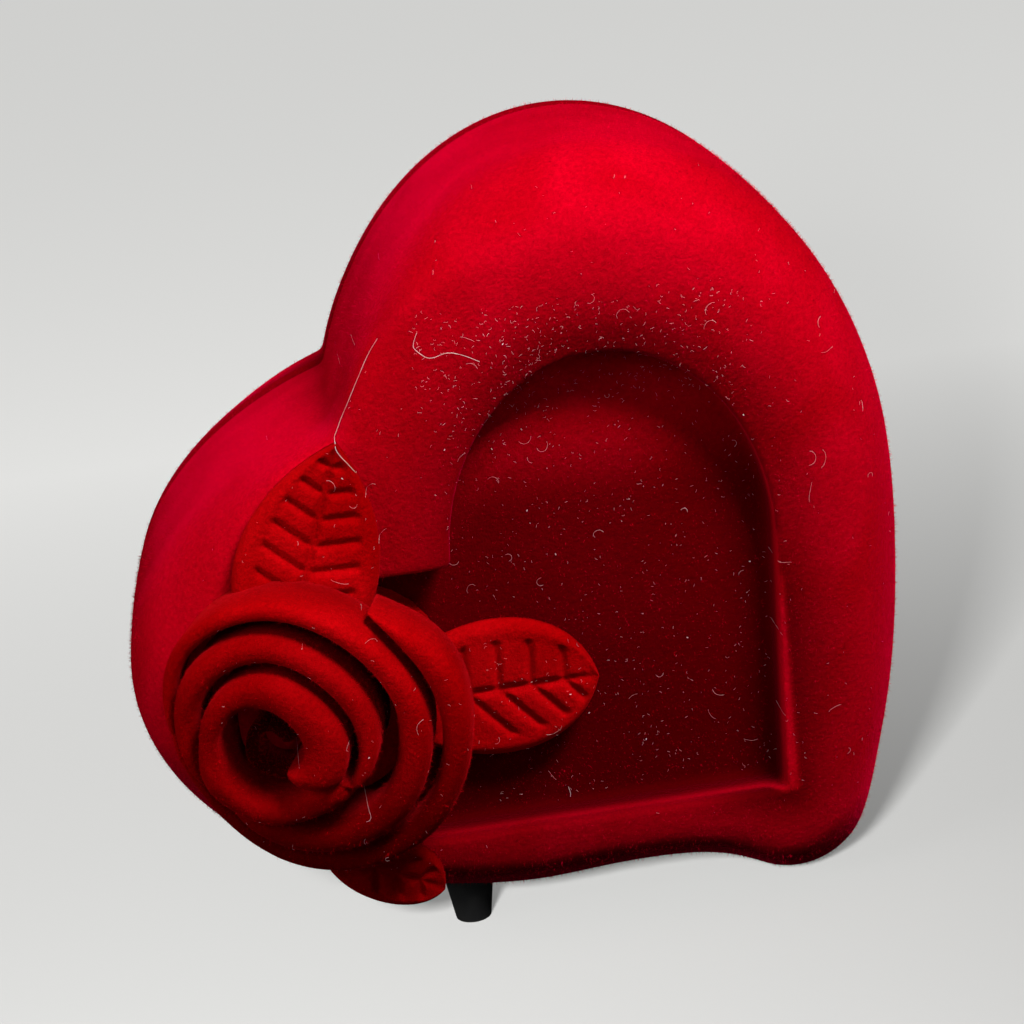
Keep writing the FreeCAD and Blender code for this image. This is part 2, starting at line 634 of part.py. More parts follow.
def make_barrel_bridge():
    """A strap over the barrel that carries the far end of the winding arbor."""
    x0, x1 = BARREL_X - BRIDGE_HALF_WIDTH, BARREL_X + BRIDGE_HALF_WIDTH
    strap_low = (x0, BRIDGE_LEG_Y, BRIDGE_Z)
    strap_high = (x1, BARREL_Y, BRIDGE_Z + BRIDGE_THICKNESS)
    strap = block(strap_low, strap_high)
    end = rod(Vector(BARREL_X, BARREL_Y, BRIDGE_Z), Z, BRIDGE_HALF_WIDTH, BRIDGE_THICKNESS)
    leg_low = (x0, BRIDGE_LEG_Y - BRIDGE_THICKNESS, PLATE_THICKNESS)
    leg = block(leg_low, (x1, BRIDGE_LEG_Y, BRIDGE_Z + BRIDGE_THICKNESS))
    foot = block(
        (BRIDGE_SCREWS[0][0] - 2.4, BRIDGE_LEG_Y - 8, PLATE_THICKNESS),
        (BRIDGE_SCREWS[1][0] + 2.4, BRIDGE_LEG_Y, PLATE_THICKNESS + BRIDGE_THICKNESS),
    )
    holes = [rod(Vector(BARREL_X, BARREL_Y, BRIDGE_Z - 1), Z, ARBOR_RADIUS + ARBOR_CLEARANCE, 4)]
    for x, y in BRIDGE_SCREWS:
        holes.append(rod(Vector(x, y, PLATE_THICKNESS - 1), Z, SMALL_SCREW_RADIUS + SCREW_CLEARANCE, 4))
    return drill(join([strap, end, leg, foot]), holes)


def make_governor_bracket():
    """The folded bracket that carries the intermediate arbor and both ends of the worm shaft."""
    thick = BRACKET_THICKNESS
    worm_x, worm_y = worm_place()
    base_low = (BRACKET_LEFT_X, BRACKET_FRONT_Y, PLATE_THICKNESS)
    base_high = (BRACKET_RIGHT_X, BRACKET_BACK_Y, PLATE_THICKNESS + thick)
    post_low = (worm_x - BRACKET_ARM_HALF, BRACKET_FRONT_Y, PLATE_THICKNESS)
    post_high = (worm_x + BRACKET_ARM_HALF, BRACKET_FRONT_Y + thick, BRACKET_ARM_Z + thick)
    arm_low = (worm_x - BRACKET_ARM_HALF, BRACKET_FRONT_Y, BRACKET_ARM_Z)
    arm_high = (worm_x + BRACKET_ARM_HALF, worm_y, BRACKET_ARM_Z + thick)
    base, post, arm = block(base_low, base_high), block(post_low, post_high), block(arm_low, arm_high)
    arm_end = rod(Vector(worm_x, worm_y, BRACKET_ARM_Z), Z, BRACKET_ARM_HALF, thick)
    cheeks = []
    for x in (TRAIN_CHEEK_X, BRACKET_RIGHT_X - thick):
        low = (x, train_y() - CHEEK_HALF_WIDTH, PLATE_THICKNESS)
        high = (x + thick, train_y() + CHEEK_HALF_WIDTH, TRAIN_Z)
        cheeks.append(block(low, high))
        cheeks.append(rod(Vector(x, train_y(), TRAIN_Z), X, CHEEK_HALF_WIDTH, thick))
    holes = [rod(Vector(TRAIN_CHEEK_X - 1, train_y(), TRAIN_Z), X, TRAIN_ARBOR_RADIUS + PIVOT_GAP, 12)]
    holes.append(rod(Vector(worm_x, worm_y, PLATE_THICKNESS + 0.3), Z, PIVOT_RADIUS + PIVOT_GAP, 30))
    for x, y in BRACKET_SCREWS:
        holes.append(rod(Vector(x, y, PLATE_THICKNESS - 1), Z, SMALL_SCREW_RADIUS + SCREW_CLEARANCE, 4))
    return drill(join([base, post, arm, arm_end] + cheeks), holes)


def make_small_screws(places, seat_z, head_radius, head_height, radius, length):
    seats = [Vector(x, y, seat_z) for x, y in places]
    return Part.makeCompound([screw(s, Z * -1, head_radius, head_height, radius, length) for s in seats])


def make_mount_screws():
    seat_z = -BOSS_HEIGHT - WALL
    length = -seat_z + PLATE_THICKNESS + MOUNT_SCREW_OVERRUN
    sizes = (MOUNT_SCREW_HEAD_RADIUS, MOUNT_SCREW_HEAD, MOUNT_SCREW_RADIUS, length)
    return Part.makeCompound([screw(Vector(x, y, seat_z), Z, *sizes) for x, y in MOUNT_PLACES])


def make_clutch_spring():
    """The close coil on the winding arbor that lets the key turn one way only."""
    centre_radius = ARBOR_RADIUS + RUNNING_GAP + CLUTCH_WIRE
    start_z = BRIDGE_Z + BRIDGE_THICKNESS + CLUTCH_WIRE
    helix = Part.makeHelix(CLUTCH_PITCH, CLUTCH_PITCH * CLUTCH_TURNS, centre_radius)
    section = Part.Wire(Part.makeCircle(CLUTCH_WIRE, Vector(centre_radius, 0, 0), Y))
    coil = Part.Wire(helix).makePipeShell([section], True, True)
    coil.translate(Vector(BARREL_X, BARREL_Y, start_z))
    return coil


# ---- the movement: turning parts -----------------------------------------------------------
def make_arbor():
    """The winding arbor, from inside the key to just past the bridge."""
    start_z = back_face_y() - CASE_DEPTH - KEY_STANDOFF - KEY_BORE_DEPTH
    shaft = rod(Vector(BARREL_X, BARREL_Y, start_z), Z, ARBOR_RADIUS, ARBOR_TOP_Z - start_z)
    collar_z = BARREL_LID_Z + LID_THICKNESS + 0.2
    collar = rod(Vector(BARREL_X, BARREL_Y, collar_z), Z, COLLAR_RADIUS, BRIDGE_Z - collar_z - 0.2)
    return join([shaft, collar])


def make_barrel():
    at = Vector(BARREL_X, BARREL_Y, BARREL_BOTTOM_Z)
    can = rod(at, Z, BARREL_RADIUS, BARREL_LID_Z - BARREL_BOTTOM_Z)
    room = rod(at + Z * BARREL_WALL, Z, BARREL_RADIUS - BARREL_WALL, 20)
    return drill(can, [room, rod(at - Z, Z, ARBOR_RADIUS + ARBOR_CLEARANCE, 5)])


def make_barrel_lid():
    """The barrel's lid, with the ring of crown teeth that drives the cylinder."""
    at = Vector(BARREL_X, BARREL_Y, BARREL_LID_Z)
    parts = [tube(at, Z, BARREL_RADIUS, ARBOR_RADIUS + ARBOR_CLEARANCE, LID_THICKNESS)]
    half_length, half_thick = CROWN_TOOTH_LENGTH / 2, CROWN_TOOTH_THICKNESS / 2
    top = LID_THICKNESS + CROWN_TOOTH_HEIGHT
    for k in range(CROWN_TEETH):
        low = (CROWN_RADIUS - half_length, -half_thick, LID_THICKNESS / 2)
        tooth = block(low, (CROWN_RADIUS + half_length, half_thick, top))
        tooth.rotate(Vector(), Z, (k + 0.5) * 360.0 / CROWN_TEETH)
        tooth.translate(at)
        parts.append(tooth)
    return join(parts)


def make_mainspring():
    """The coiled mainspring: half turns about two centres, each a little wider than the last."""
    low = BARREL_BOTTOM_Z + BARREL_WALL + 0.2
    height = BARREL_LID_Z - 0.2 - low
    step = SPRING_PITCH / 2
    halves = []
    for i in range(SPRING_HALF_TURNS):
        centre = Vector(BARREL_X + (step if i % 2 else 0), BARREL_Y, low)
        radius = SPRING_INNER_RADIUS + i * step
        outer = Part.makeCylinder(radius + SPRING_THICKNESS, height, centre, Z, 180)
        half = outer.cut(rod(centre, Z, radius, height))
        if i % 2:
            half.rotate(centre, Z, 180)
        halves.append(half)
    return join(halves)


def make_cylinder():
    at = Vector(CYLINDER_START_X, BARREL_Y, CYLINDER_Z)
    drum = rod(at, X, CYLINDER_RADIUS, CYLINDER_LENGTH)
    room = rod(at + X, X, CYLINDER_RADIUS - CYLINDER_WALL, CYLINDER_LENGTH - 2)
    return drill(drum, [room, rod(at - X, X, CYLINDER_ARBOR_RADIUS, CYLINDER_LENGTH + 2)])


def make_cylinder_pins():
    pins = []
    for track in range(PIN_TRACKS):
        x = CYLINDER_START_X + TRACK_START + (track + 0.5) * TRACK_PITCH
        count = FEWEST_PINS + (track * 3) % PIN_COUNT_SPREAD
        for k in range(count):
            angle = math.radians(360.0 * k / count + GOLDEN_ANGLE * track)
            out = Vector(0, math.cos(angle), math.sin(angle))
            foot = Vector(x, BARREL_Y, CYLINDER_Z) + out * CYLINDER_RADIUS
            pins.append(rod(foot, out, PIN_RADIUS, PIN_HEIGHT))
    return Part.makeCompound(pins)


def make_cylinder_arbor():
    start = LEFT_LUG_X - PINION_LENGTH - 1.0
    end = RIGHT_LUG_X + LUG_THICKNESS + 0.5
    return rod(Vector(start, BARREL_Y, CYLINDER_Z), X, CYLINDER_ARBOR_RADIUS, end - start)


def make_cylinder_pinion():
    pitch_radius = CROWN_RADIUS * PINION_TEETH / CROWN_TEETH
    outline = gear(PINION_TEETH, pitch_radius - 0.5, pitch_radius + 0.4, 0.36, 0.14, -90)
    x = BARREL_X + CROWN_RADIUS - PINION_LENGTH / 2
    solid = gear_on_x(outline, x, BARREL_Y, CYLINDER_Z, PINION_LENGTH)
    return solid.cut(rod(Vector(x - 1, BARREL_Y, CYLINDER_Z), X, CYLINDER_ARBOR_RADIUS, PINION_LENGTH + 2))


def mesh_direction():
    """The direction from the cylinder to the intermediate arbor, in degrees in the y-z plane."""
    return math.degrees(math.atan2(TRAIN_Z - CYLINDER_Z, train_y() - BARREL_Y))


def train_y():
    """Where the intermediate arbor must stand for its pinion to mesh with the cylinder's wheel."""
    distance = TRAIN_MODULE * (WHEEL_TEETH + TRAIN_PINION_TEETH) / 2
    return BARREL_Y - math.sqrt(distance**2 - (CYLINDER_Z - TRAIN_Z) ** 2)


def worm_place():
    return WORM_WHEEL_X + WORM_WHEEL_WIDTH / 2, train_y() - WORM_WHEEL_RADIUS - WORM_RADIUS


def make_cylinder_wheel():
    pitch_radius = TRAIN_MODULE * WHEEL_TEETH / 2
    outline = gear(WHEEL_TEETH, pitch_radius - 0.5, pitch_radius + 0.35, 0.33, 0.12, mesh_direction())
    solid = gear_on_x(outline, WHEEL_X, BARREL_Y, CYLINDER_Z, WHEEL_WIDTH)
    holes = [rod(Vector(WHEEL_X - 1, BARREL_Y, CYLINDER_Z), X, CYLINDER_ARBOR_RADIUS, WHEEL_WIDTH + 2)]
    return drill(solid, holes)


def make_intermediate_arbor():
    """A steel arbor cut with a pinion of eight leaves."""
    pitch_radius = TRAIN_MODULE * TRAIN_PINION_TEETH / 2
    gap_direction = mesh_direction() + 180 + 180.0 / TRAIN_PINION_TEETH
    outline = gear(TRAIN_PINION_TEETH, pitch_radius - 0.5, pitch_radius + 0.35, 0.28, 0.12, gap_direction)
    pinion = gear_on_x(outline, WHEEL_X - 0.2, train_y(), TRAIN_Z, WHEEL_WIDTH + 0.4)
    start, end = TRAIN_ARBOR_X
    shaft = rod(Vector(start, train_y(), TRAIN_Z), X, TRAIN_ARBOR_RADIUS, end - start)
    return join([pinion, shaft])


def make_worm_wheel():
    outline = gear(WORM_WHEEL_TEETH, WORM_WHEEL_RADIUS - 0.5, WORM_WHEEL_RADIUS + 0.35, 0.34, 0.14, 180)
    solid = gear_on_x(outline, WORM_WHEEL_X, train_y(), TRAIN_Z, WORM_WHEEL_WIDTH)
    return solid.cut(rod(Vector(WORM_WHEEL_X - 1, train_y(), TRAIN_Z), X, TRAIN_ARBOR_RADIUS, 4))


def make_worm_shaft():
    """The governor's shaft with the worm cut on it and a pivot at each end."""
    worm_x, worm_y = worm_place()
    pitch = 2 * math.pi * WORM_WHEEL_RADIUS / WORM_WHEEL_TEETH
    length = pitch * WORM_TURNS
    tip = WORM_CORE_RADIUS + WORM_THREAD_HEIGHT
    root = WORM_CORE_RADIUS - 0.3
    helix = Part.makeHelix(pitch, length, WORM_CORE_RADIUS)
    half_root, half_tip = WORM_THREAD_WIDTH * 0.75, WORM_THREAD_WIDTH * 0.35
    corners = [(root, -half_root), (tip, -half_tip), (tip, half_tip), (root, half_root)]
    section = Part.makePolygon([Vector(x, 0, z) for x, z in corners + corners[:1]])
    thread = Part.Wire(helix).makePipeShell([section], True, True)
    thread.translate(Z * worm_start_z(pitch))
    core = rod(Z * WORM_SHAFT_Z[0], Z, WORM_CORE_RADIUS, WORM_SHAFT_Z[1] - WORM_SHAFT_Z[0])
    pivot_low = PLATE_THICKNESS + 0.5
    pivots = rod(Z * pivot_low, Z, PIVOT_RADIUS, BRACKET_ARM_Z + BRACKET_THICKNESS * 0.8 - pivot_low)
    solid = join([core, pivots, thread])
    solid.translate(Vector(worm_x, worm_y, 0))
    return solid


def worm_start_z(pitch):
    """Start the thread so that a gap between threads faces the wheel's tooth."""
    return TRAIN_Z - pitch * (WORM_TURNS // 2 + 0.75)


def make_fan():
    """The two-bladed air brake at the top of the worm shaft."""
    worm_x, worm_y = worm_place()
    at = Vector(worm_x, worm_y, FAN_Z)
    blade = block((-FAN_RADIUS, -FAN_THICKNESS / 2, 0), (FAN_RADIUS, FAN_THICKNESS / 2, FAN_HEIGHT))
    blade.translate(at)
    fan = join([blade, rod(at, Z, FAN_HUB_RADIUS, FAN_HEIGHT)])
    return fan.cut(rod(at - Z, Z, PIVOT_RADIUS, FAN_HEIGHT + 2))


def make_key():
    """A butterfly key: a bored hub and a flat bow of two pierced lobes."""
    front = CASE_DEPTH + KEY_STANDOFF
    at = barrel_axis_point(front)
    bow_y = front + KEY_HUB_LENGTH + KEY_BOW_OVERLAP
    hub = rod(at, Y, KEY_HUB_RADIUS, KEY_HUB_LENGTH)
    parts = [hub]
    holes = [rod(at - Y, Y, ARBOR_RADIUS + KEY_FIT, KEY_BORE_DEPTH + 1)]
    for side in (-1, 1):
        low = Vector(at.x + side * KEY_BOW_SPREAD, bow_y, at.z - KEY_BOW_THICKNESS / 2)
        parts.append(rod(low, Z, KEY_BOW_RADIUS, KEY_BOW_THICKNESS))
        holes.append(rod(low - Z, Z, KEY_EYE_RADIUS, KEY_BOW_THICKNESS + 2))
    return drill(join(parts), holes)


# ---- the whole box -------------------------------------------------------------------------
def make_movement():
    seat = PLATE_THICKNESS + BRACKET_THICKNESS
    small = (SMALL_HEAD_RADIUS, SMALL_HEAD, SMALL_SCREW_RADIUS, seat - 0.2)
    comb_places = [(x, COMB_SCREW_Y) for x in COMB_SCREW_XS]
    comb_top = COMB_Z + COMB_THICKNESS
    comb_sizes = (SMALL_HEAD_RADIUS, COMB_SCREW_HEAD, COMB_SCREW_RADIUS, COMB_SCREW_LENGTH)
    return {
        "bedplate": make_bedplate(),
        "comb": make_comb(),
        "comb_screws": make_small_screws(comb_places, comb_top, *comb_sizes),
        "barrel_bridge": make_barrel_bridge(),
        "bridge_screws": make_small_screws(BRIDGE_SCREWS, seat, *small),
        "governor_bracket": make_governor_bracket(),
        "bracket_screws": make_small_screws(BRACKET_SCREWS, seat, *small),
        "movement_screws": make_mount_screws(),
        "clutch_spring": make_clutch_spring(),
        "winding_arbor": make_arbor(),
        "spring_barrel": make_barrel(),
        "barrel_lid": make_barrel_lid(),
        "mainspring": make_mainspring(),
        "cylinder": make_cylinder(),
        "cylinder_pins": make_cylinder_pins(),
        "cylinder_arbor": make_cylinder_arbor(),
        "cylinder_pinion": make_cylinder_pinion(),
        "cylinder_wheel": make_cylinder_wheel(),
        "intermediate_arbor": make_intermediate_arbor(),
        "worm_wheel": make_worm_wheel(),
        "worm_shaft": make_worm_shaft(),
        "governor_fan": make_fan(),
    }


def make_all():
    outside = rounded_heart(0, SEAM_Y)
    solid_heart = join([outside, rounded_back(SEAM_Y, CASE_DEPTH)])
    solid_case = solid_heart.cut(recess(0, -1, RECESS_DEPTH))
    pieces = {"front_shell": make_front_shell(outside), "back_cover": make_back_cover()}
    pieces["case_screws"] = make_case_screws()
    for name, y in FOOT_YS.items():
        pieces[name] = make_foot(y, solid_heart)
    rose = make_rose(solid_case)
    pieces.update(rose)
    rose_solid = Part.makeCompound(list(rose.values()))
    for name, values in LEAVES.items():
        pieces[name] = biggest(make_leaf(*values).cut(solid_case).cut(rose_solid))
    pieces["winding_key"] = make_key()
    for name, shape in make_movement().items():
        pieces[name] = stand_up(shape)
    return pieces


def main():
    pieces = make_all()
    box = Part.makeCompound(list(pieces.values())).optimalBoundingBox(True, False)
    to_origin = Vector(-box.Center.x, -box.Center.y, -box.ZMin)
    os.makedirs("parts", exist_ok=True)
    for name, shape in pieces.items():
        shape.translate(to_origin)
        shape.exportStep(os.path.join("parts", name + ".step"))
        print(name, shape.isValid(), len(shape.Solids), round(shape.Volume, 1))
    print("origin moved by", to_origin)
    print("size", round(box.XLength, 2), round(box.YLength, 2), round(box.ZLength, 2))


main()
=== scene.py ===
import math
import random

import bpy
import numpy as np
from mathutils import Matrix, Vector
from mathutils.bvhtree import BVHTree

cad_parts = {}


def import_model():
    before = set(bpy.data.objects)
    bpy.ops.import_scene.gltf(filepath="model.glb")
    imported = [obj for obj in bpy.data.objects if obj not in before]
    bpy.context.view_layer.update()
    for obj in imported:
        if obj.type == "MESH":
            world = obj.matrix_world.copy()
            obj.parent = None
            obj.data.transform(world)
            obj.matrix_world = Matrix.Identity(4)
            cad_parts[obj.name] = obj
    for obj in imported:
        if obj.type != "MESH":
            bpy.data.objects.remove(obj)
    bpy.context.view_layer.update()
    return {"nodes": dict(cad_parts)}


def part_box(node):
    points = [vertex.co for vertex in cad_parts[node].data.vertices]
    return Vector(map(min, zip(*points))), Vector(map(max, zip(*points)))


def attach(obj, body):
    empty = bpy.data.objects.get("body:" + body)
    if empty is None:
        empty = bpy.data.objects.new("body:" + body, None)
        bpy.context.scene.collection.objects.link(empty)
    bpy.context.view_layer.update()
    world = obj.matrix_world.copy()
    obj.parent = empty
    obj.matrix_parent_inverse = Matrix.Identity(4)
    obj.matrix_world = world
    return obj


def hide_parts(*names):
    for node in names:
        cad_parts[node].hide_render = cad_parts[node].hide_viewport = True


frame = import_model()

# The looks of a flocked, heart-shaped, wind-up music box. Shapes are laid out in millimetres in the
# heart's own frame (x right, y back from the face, z up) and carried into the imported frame.

MM = 0.001
SEED = 11

shell_low, shell_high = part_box("front_shell")
HEART_RIGHT = 85.0                       # x of the shell's right edge in the heart's frame
ORIGIN = Vector((shell_high.x - HEART_RIGHT * MM, shell_low.y, shell_low.z))

ROSE_CENTRE = Vector((-4.0, -2.0, 43.3))
ROSE_AXIS = Vector((-0.27, -0.96, -0.08)).normalized()
SWIRL = Vector((-6.5, -1.8))             # the middle of the roll, in the rose's plane


def world(p):
    """A point of the heart's frame, in millimetres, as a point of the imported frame."""
    return ORIGIN + Vector(p) * MM


# ---- materials -----------------------------------------------------------------------------
SHEEN_ROUGHNESS = 0.34
PAINTED_SHADE_KEEP = 0.10                         # how much of its colour the pile keeps under full painted shade


class Nodes:
    """A small material builder. Its calls add nodes and give back their outputs."""

    def __init__(self, name):
        self.material = bpy.data.materials.new(name)
        self.material.use_nodes = True
        self.tree = self.material.node_tree
        self.shader = self.tree.nodes["Principled BSDF"]
        self.coords = self.tree.nodes.new("ShaderNodeTexCoord").outputs["Object"]

    def add(self, kind, **values):
        node = self.tree.nodes.new(kind)
        for key, value in values.items():
            setattr(node, key, value)
        return node

    def link(self, source, target):
        self.tree.links.new(source, target)

    def noise(self, scale, detail=3.0, roughness=0.5, distortion=0.0):
        node = self.add("ShaderNodeTexNoise")
        node.inputs["Scale"].default_value = scale
        node.inputs["Detail"].default_value = detail
        node.inputs["Roughness"].default_value = roughness
        node.inputs["Distortion"].default_value = distortion
        self.link(self.coords, node.inputs["Vector"])
        return node.outputs["Fac"]

    def spread(self, value, low, high, to_low=0.0, to_high=1.0):
        node = self.add("ShaderNodeMapRange")
        ends = {"From Min": low, "From Max": high, "To Min": to_low, "To Max": to_high}
        for key, number in ends.items():
            node.inputs[key].default_value = number
        self.link(value, node.inputs["Value"])
        return node.outputs["Result"]

    def arithmetic(self, operation, value, number=0.0):
        node = self.add("ShaderNodeMath", operation=operation)
        self.link(value, node.inputs[0])
        node.inputs[1].default_value = number
        return node.outputs[0]

    def mix(self, factor, a, b):
        node = self.add("ShaderNodeMix", data_type="RGBA")
        for value, socket in ((factor, 0), (a, 6), (b, 7)):
            if isinstance(value, bpy.types.NodeSocket):
                self.link(value, node.inputs[socket])
            elif socket:
                node.inputs[socket].default_value = (*value, 1.0)
            else:
                node.inputs[socket].default_value = value
        return node.outputs[2]

    def bump(self, height, strength, distance):
        node = self.add("ShaderNodeBump")
        node.inputs["Strength"].default_value = strength
        node.inputs["Distance"].default_value = distance
        self.link(height, node.inputs["Height"])
        self.link(node.outputs["Normal"], self.shader.inputs["Normal"])

    def set(self, **values):
        for key, value in values.items():
            self.shader.inputs[key.replace("_", " ")].default_value = value


def velvet(name, deep, lit, sheen, sheen_tint):
    """Short nylon flock: deep colour face-on, a lifted glow at grazing angles, grain and brushed patches.

    The mesh's shade attribute holds painted shade, which darkens the colour towards a dark copy of the deep
    colour.
    """
    n = Nodes(name)
    patches = n.spread(n.noise(48.0, 2.0, 0.5, 0.8), 0.36, 0.64)
    grain = n.spread(n.noise(1500.0, 3.0, 0.75), 0.30, 0.70)
    colour = n.mix(patches, deep, lit)
    speckled = n.mix(n.spread(grain, 0.0, 1.0, 0.0, 0.50), colour, tuple(c * 0.45 for c in deep))
    # painted shade: the shade attribute mixes the colour towards a dark copy of the deep colour
    shade = n.add("ShaderNodeAttribute", attribute_name="shade").outputs["Fac"]
    painted_shade_colour = n.mix(shade, speckled, tuple(c * PAINTED_SHADE_KEEP for c in deep))
    n.link(painted_shade_colour, n.shader.inputs["Base Color"])
    n.link(n.spread(patches, 0.0, 1.0, 0.86, 1.0), n.shader.inputs["Roughness"])
    n.set(Specular_IOR_Level=0.0, Sheen_Weight=sheen, Sheen_Roughness=SHEEN_ROUGHNESS)
    n.set(Sheen_Tint=(*sheen_tint, 1.0))
    n.bump(grain, 0.5, 0.00025)
    return n.material


def metal(name, colour, worn, roughness, scale=420.0):
    """Plated or bare metal with smears, fine scratches and an uneven polish."""
    n = Nodes(name)
    smears = n.noise(scale * 0.3, 4.0, 0.6, 1.2)
    scratches = n.noise(scale * 6.0, 2.0, 0.8, 2.0)
    n.link(n.mix(n.spread(smears, 0.35, 0.75), colour, worn), n.shader.inputs["Base Color"])
    n.link(n.spread(smears, 0.3, 0.7, roughness * 0.75, roughness * 1.35), n.shader.inputs["Roughness"])
    n.set(Metallic=1.0)
    n.bump(scratches, 0.12, 0.00004)
    return n.material


def plain(name, colour, marked, roughness, bump_scale, bump_depth, strength=0.35):
    """Rubber or moulded plastic with a fine surface grain."""
    n = Nodes(name)
    marks = n.noise(160.0, 3.0, 0.6)
    n.link(n.mix(n.spread(marks, 0.4, 0.7), colour, marked), n.shader.inputs["Base Color"])
    dullest = min(1.0, roughness * 1.1)
    n.link(n.spread(marks, 0.3, 0.7, roughness * 0.85, dullest), n.shader.inputs["Roughness"])
    n.bump(n.noise(bump_scale, 2.0, 0.6), strength, bump_depth)
    return n.material


MATERIALS = {
    "shell": velvet("flock_shell", (0.50, 0.0, 0.006), (0.64, 0.0, 0.012), 0.45, (1.0, 0.0, 0.06)),
    "rose": velvet("flock_rose", (0.36, 0.0, 0.001), (0.52, 0.001, 0.003), 0.30, (1.0, 0.01, 0.02)),
    "fibre": velvet("flock_fibre", (0.56, 0.0, 0.010), (0.80, 0.0, 0.03), 0.3, (1.0, 0.0, 0.1)),
    "rose_fibre": velvet("flock_rose_fibre", (0.56, 0.0, 0.003), (0.80, 0.0, 0.01), 0.3, (1.0, 0.01, 0.04)),
    "rubber": plain("black_rubber", (0.012, 0.012, 0.013), (0.03, 0.03, 0.03), 0.75, 900.0, 0.0001),
    "nylon": plain("white_nylon", (0.80, 0.79, 0.74), (0.70, 0.68, 0.62), 0.45, 700.0, 0.00003),
    "lint": plain("pale_lint", (0.80, 0.32, 0.34), (0.90, 0.55, 0.55), 0.9, 900.0, 0.00002),
    "speck": plain("white_speck", (0.80, 0.66, 0.64), (0.9, 0.82, 0.80), 0.9, 900.0, 0.00002),
    "steel": metal("plated_steel", (0.62, 0.62, 0.63), (0.42, 0.42, 0.43), 0.30),
    "comb": metal("comb_steel", (0.70, 0.71, 0.74), (0.50, 0.51, 0.54), 0.22),
    "spring": metal("blued_spring", (0.24, 0.26, 0.33), (0.14, 0.14, 0.18), 0.30),
    "zinc": metal("cast_zinc", (0.50, 0.50, 0.51), (0.36, 0.36, 0.37), 0.48, 240.0),
    "brass": metal("brass", (0.78, 0.58, 0.25), (0.56, 0.38, 0.16), 0.28),
    "gilt": metal("gilt_key", (0.86, 0.66, 0.32), (0.60, 0.42, 0.20), 0.24),
}


def paint(obj, key):
    obj.data.materials.clear()
    obj.data.materials.append(MATERIALS[key])


# ---- mesh helpers --------------------------------------------------------------------------
def mesh_object(name, points, faces, key, rounded=True):
    """A new object in the scene; rounded shading suits everything but flat pieces."""
    mesh = bpy.data.meshes.new(name)
    mesh.from_pydata([tuple(p) for p in points], [], faces)
    mesh.validate()
    mesh.polygons.foreach_set("use_smooth", [rounded] * len(mesh.polygons))
    obj = bpy.data.objects.new(name, mesh)
    bpy.context.scene.collection.objects.link(obj)
    paint(obj, key)
    return obj


def band_faces(rows, columns, closed=False):
    """Quads over a grid of points. A closed grid joins its last column to its first."""
    faces = []
    for i in range(rows - 1):
        for j in range(columns if closed else columns - 1):
            a, b = i * columns + j, i * columns + (j + 1) % columns
            faces.append((a, b, b + columns, a + columns))
    return faces


def bake_modifiers(obj):
    """Replace an object's mesh with what its modifiers make of it."""
    graph = bpy.context.evaluated_depsgraph_get()
    mesh = bpy.data.meshes.new_from_object(obj.evaluated_get(graph))
    obj.modifiers.clear()
    obj.data = mesh
    mesh.polygons.foreach_set("use_smooth", [True] * len(mesh.polygons))


def softened(node, name, key, voxel, passes):
    """A copy of a CAD node with every edge rounded over, as flock and glue round them."""
    obj = bpy.data.objects.new(name, frame["nodes"][node].data.copy())
    bpy.context.scene.collection.objects.link(obj)
    remesh = obj.modifiers.new("remesh", "REMESH")
    remesh.mode = "VOXEL"
    remesh.voxel_size = voxel
    evening = obj.modifiers.new("smooth", "SMOOTH")
    evening.factor = 0.5
    evening.iterations = passes
    bake_modifiers(obj)
    paint(obj, key)
    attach(obj, "case")
    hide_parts(node)
    return obj


def bevelled(node, width):
    """Round off the sharp edges of a CAD node."""
    modifier = frame["nodes"][node].modifiers.new("edge", "BEVEL")
    modifier.width = width
    modifier.segments = 3
    modifier.limit_method = "ANGLE"
    modifier.angle_limit = math.radians(40)


# ---- the case ------------------------------------------------------------------------------
ARCH_CENTRE_X, ARCH_HALF_WIDTH, ARCH_SPRING_Z, ARCH_RISE = 40.5, 24.3, 60.1, 30.4
ARCH_BOTTOM_Z, ARCH_FOOT_INSET = 17.4, 1.8
FACE_DEPTH = 14.0                        # how far back the pillowed face and the recess reach
SEAM_Y = 46.05
SEAM_GROOVE_Y = SEAM_Y + 0.6             # the middle of the soft groove that the flock leaves
SEAM_HALF_WIDTH, SEAM_SINK = 2.4, 1.6
CROWN, CROWN_CENTRE = 0.5, (38.0, 55.0)  # the sides bulge away from this (x, z)
CROWN_FRONT, CROWN_DEPTH = 6.0, 46.0
PILLOW, RIM_DIP, RIM_REACH = 0.092, 0.9, 7.0
RIM_SHADE_REACH = 13.0
HEART_MIDDLE = (35.0, 55.0)
STRAIGHT_SIDE_Y, STRAIGHT_SIDE_BAND = 13.0, 0.3


def fade_in(value, low, high):
    """0 up to low, 1 from high on, and an even S-shaped climb between them."""
    t = np.clip((value - low) / (high - low), 0.0, 1.0)
    return t * t * (3 - 2 * t)


def fade_out(value, low, high):
    """1 up to low, 0 from high on, and an even S-shaped fall between them."""
    return fade_in(-value, -high, -low)


def coordinates(mesh):
    """A mesh's vertices in the heart's frame, in millimetres."""
    flat = np.empty(len(mesh.vertices) * 3)
    mesh.vertices.foreach_get("co", flat)
    return (flat.reshape(-1, 3) - np.array(ORIGIN)) / MM


def store(mesh, points):
    """Move a mesh's vertices to some points of the heart's frame."""
    mesh.vertices.foreach_set("co", (points * MM + np.array(ORIGIN)).ravel())
    mesh.update()


def vertex_normals(mesh):
    flat = np.empty(len(mesh.vertices) * 3)
    mesh.vertices.foreach_get("normal", flat)
    return flat.reshape(-1, 3)


def store_shade(mesh, shade):
    """Mark on each vertex how much painted shade darkens its colour, from 0 to 1."""
    mesh.attributes.new("shade", "FLOAT", "POINT").data.foreach_set("value", shade)


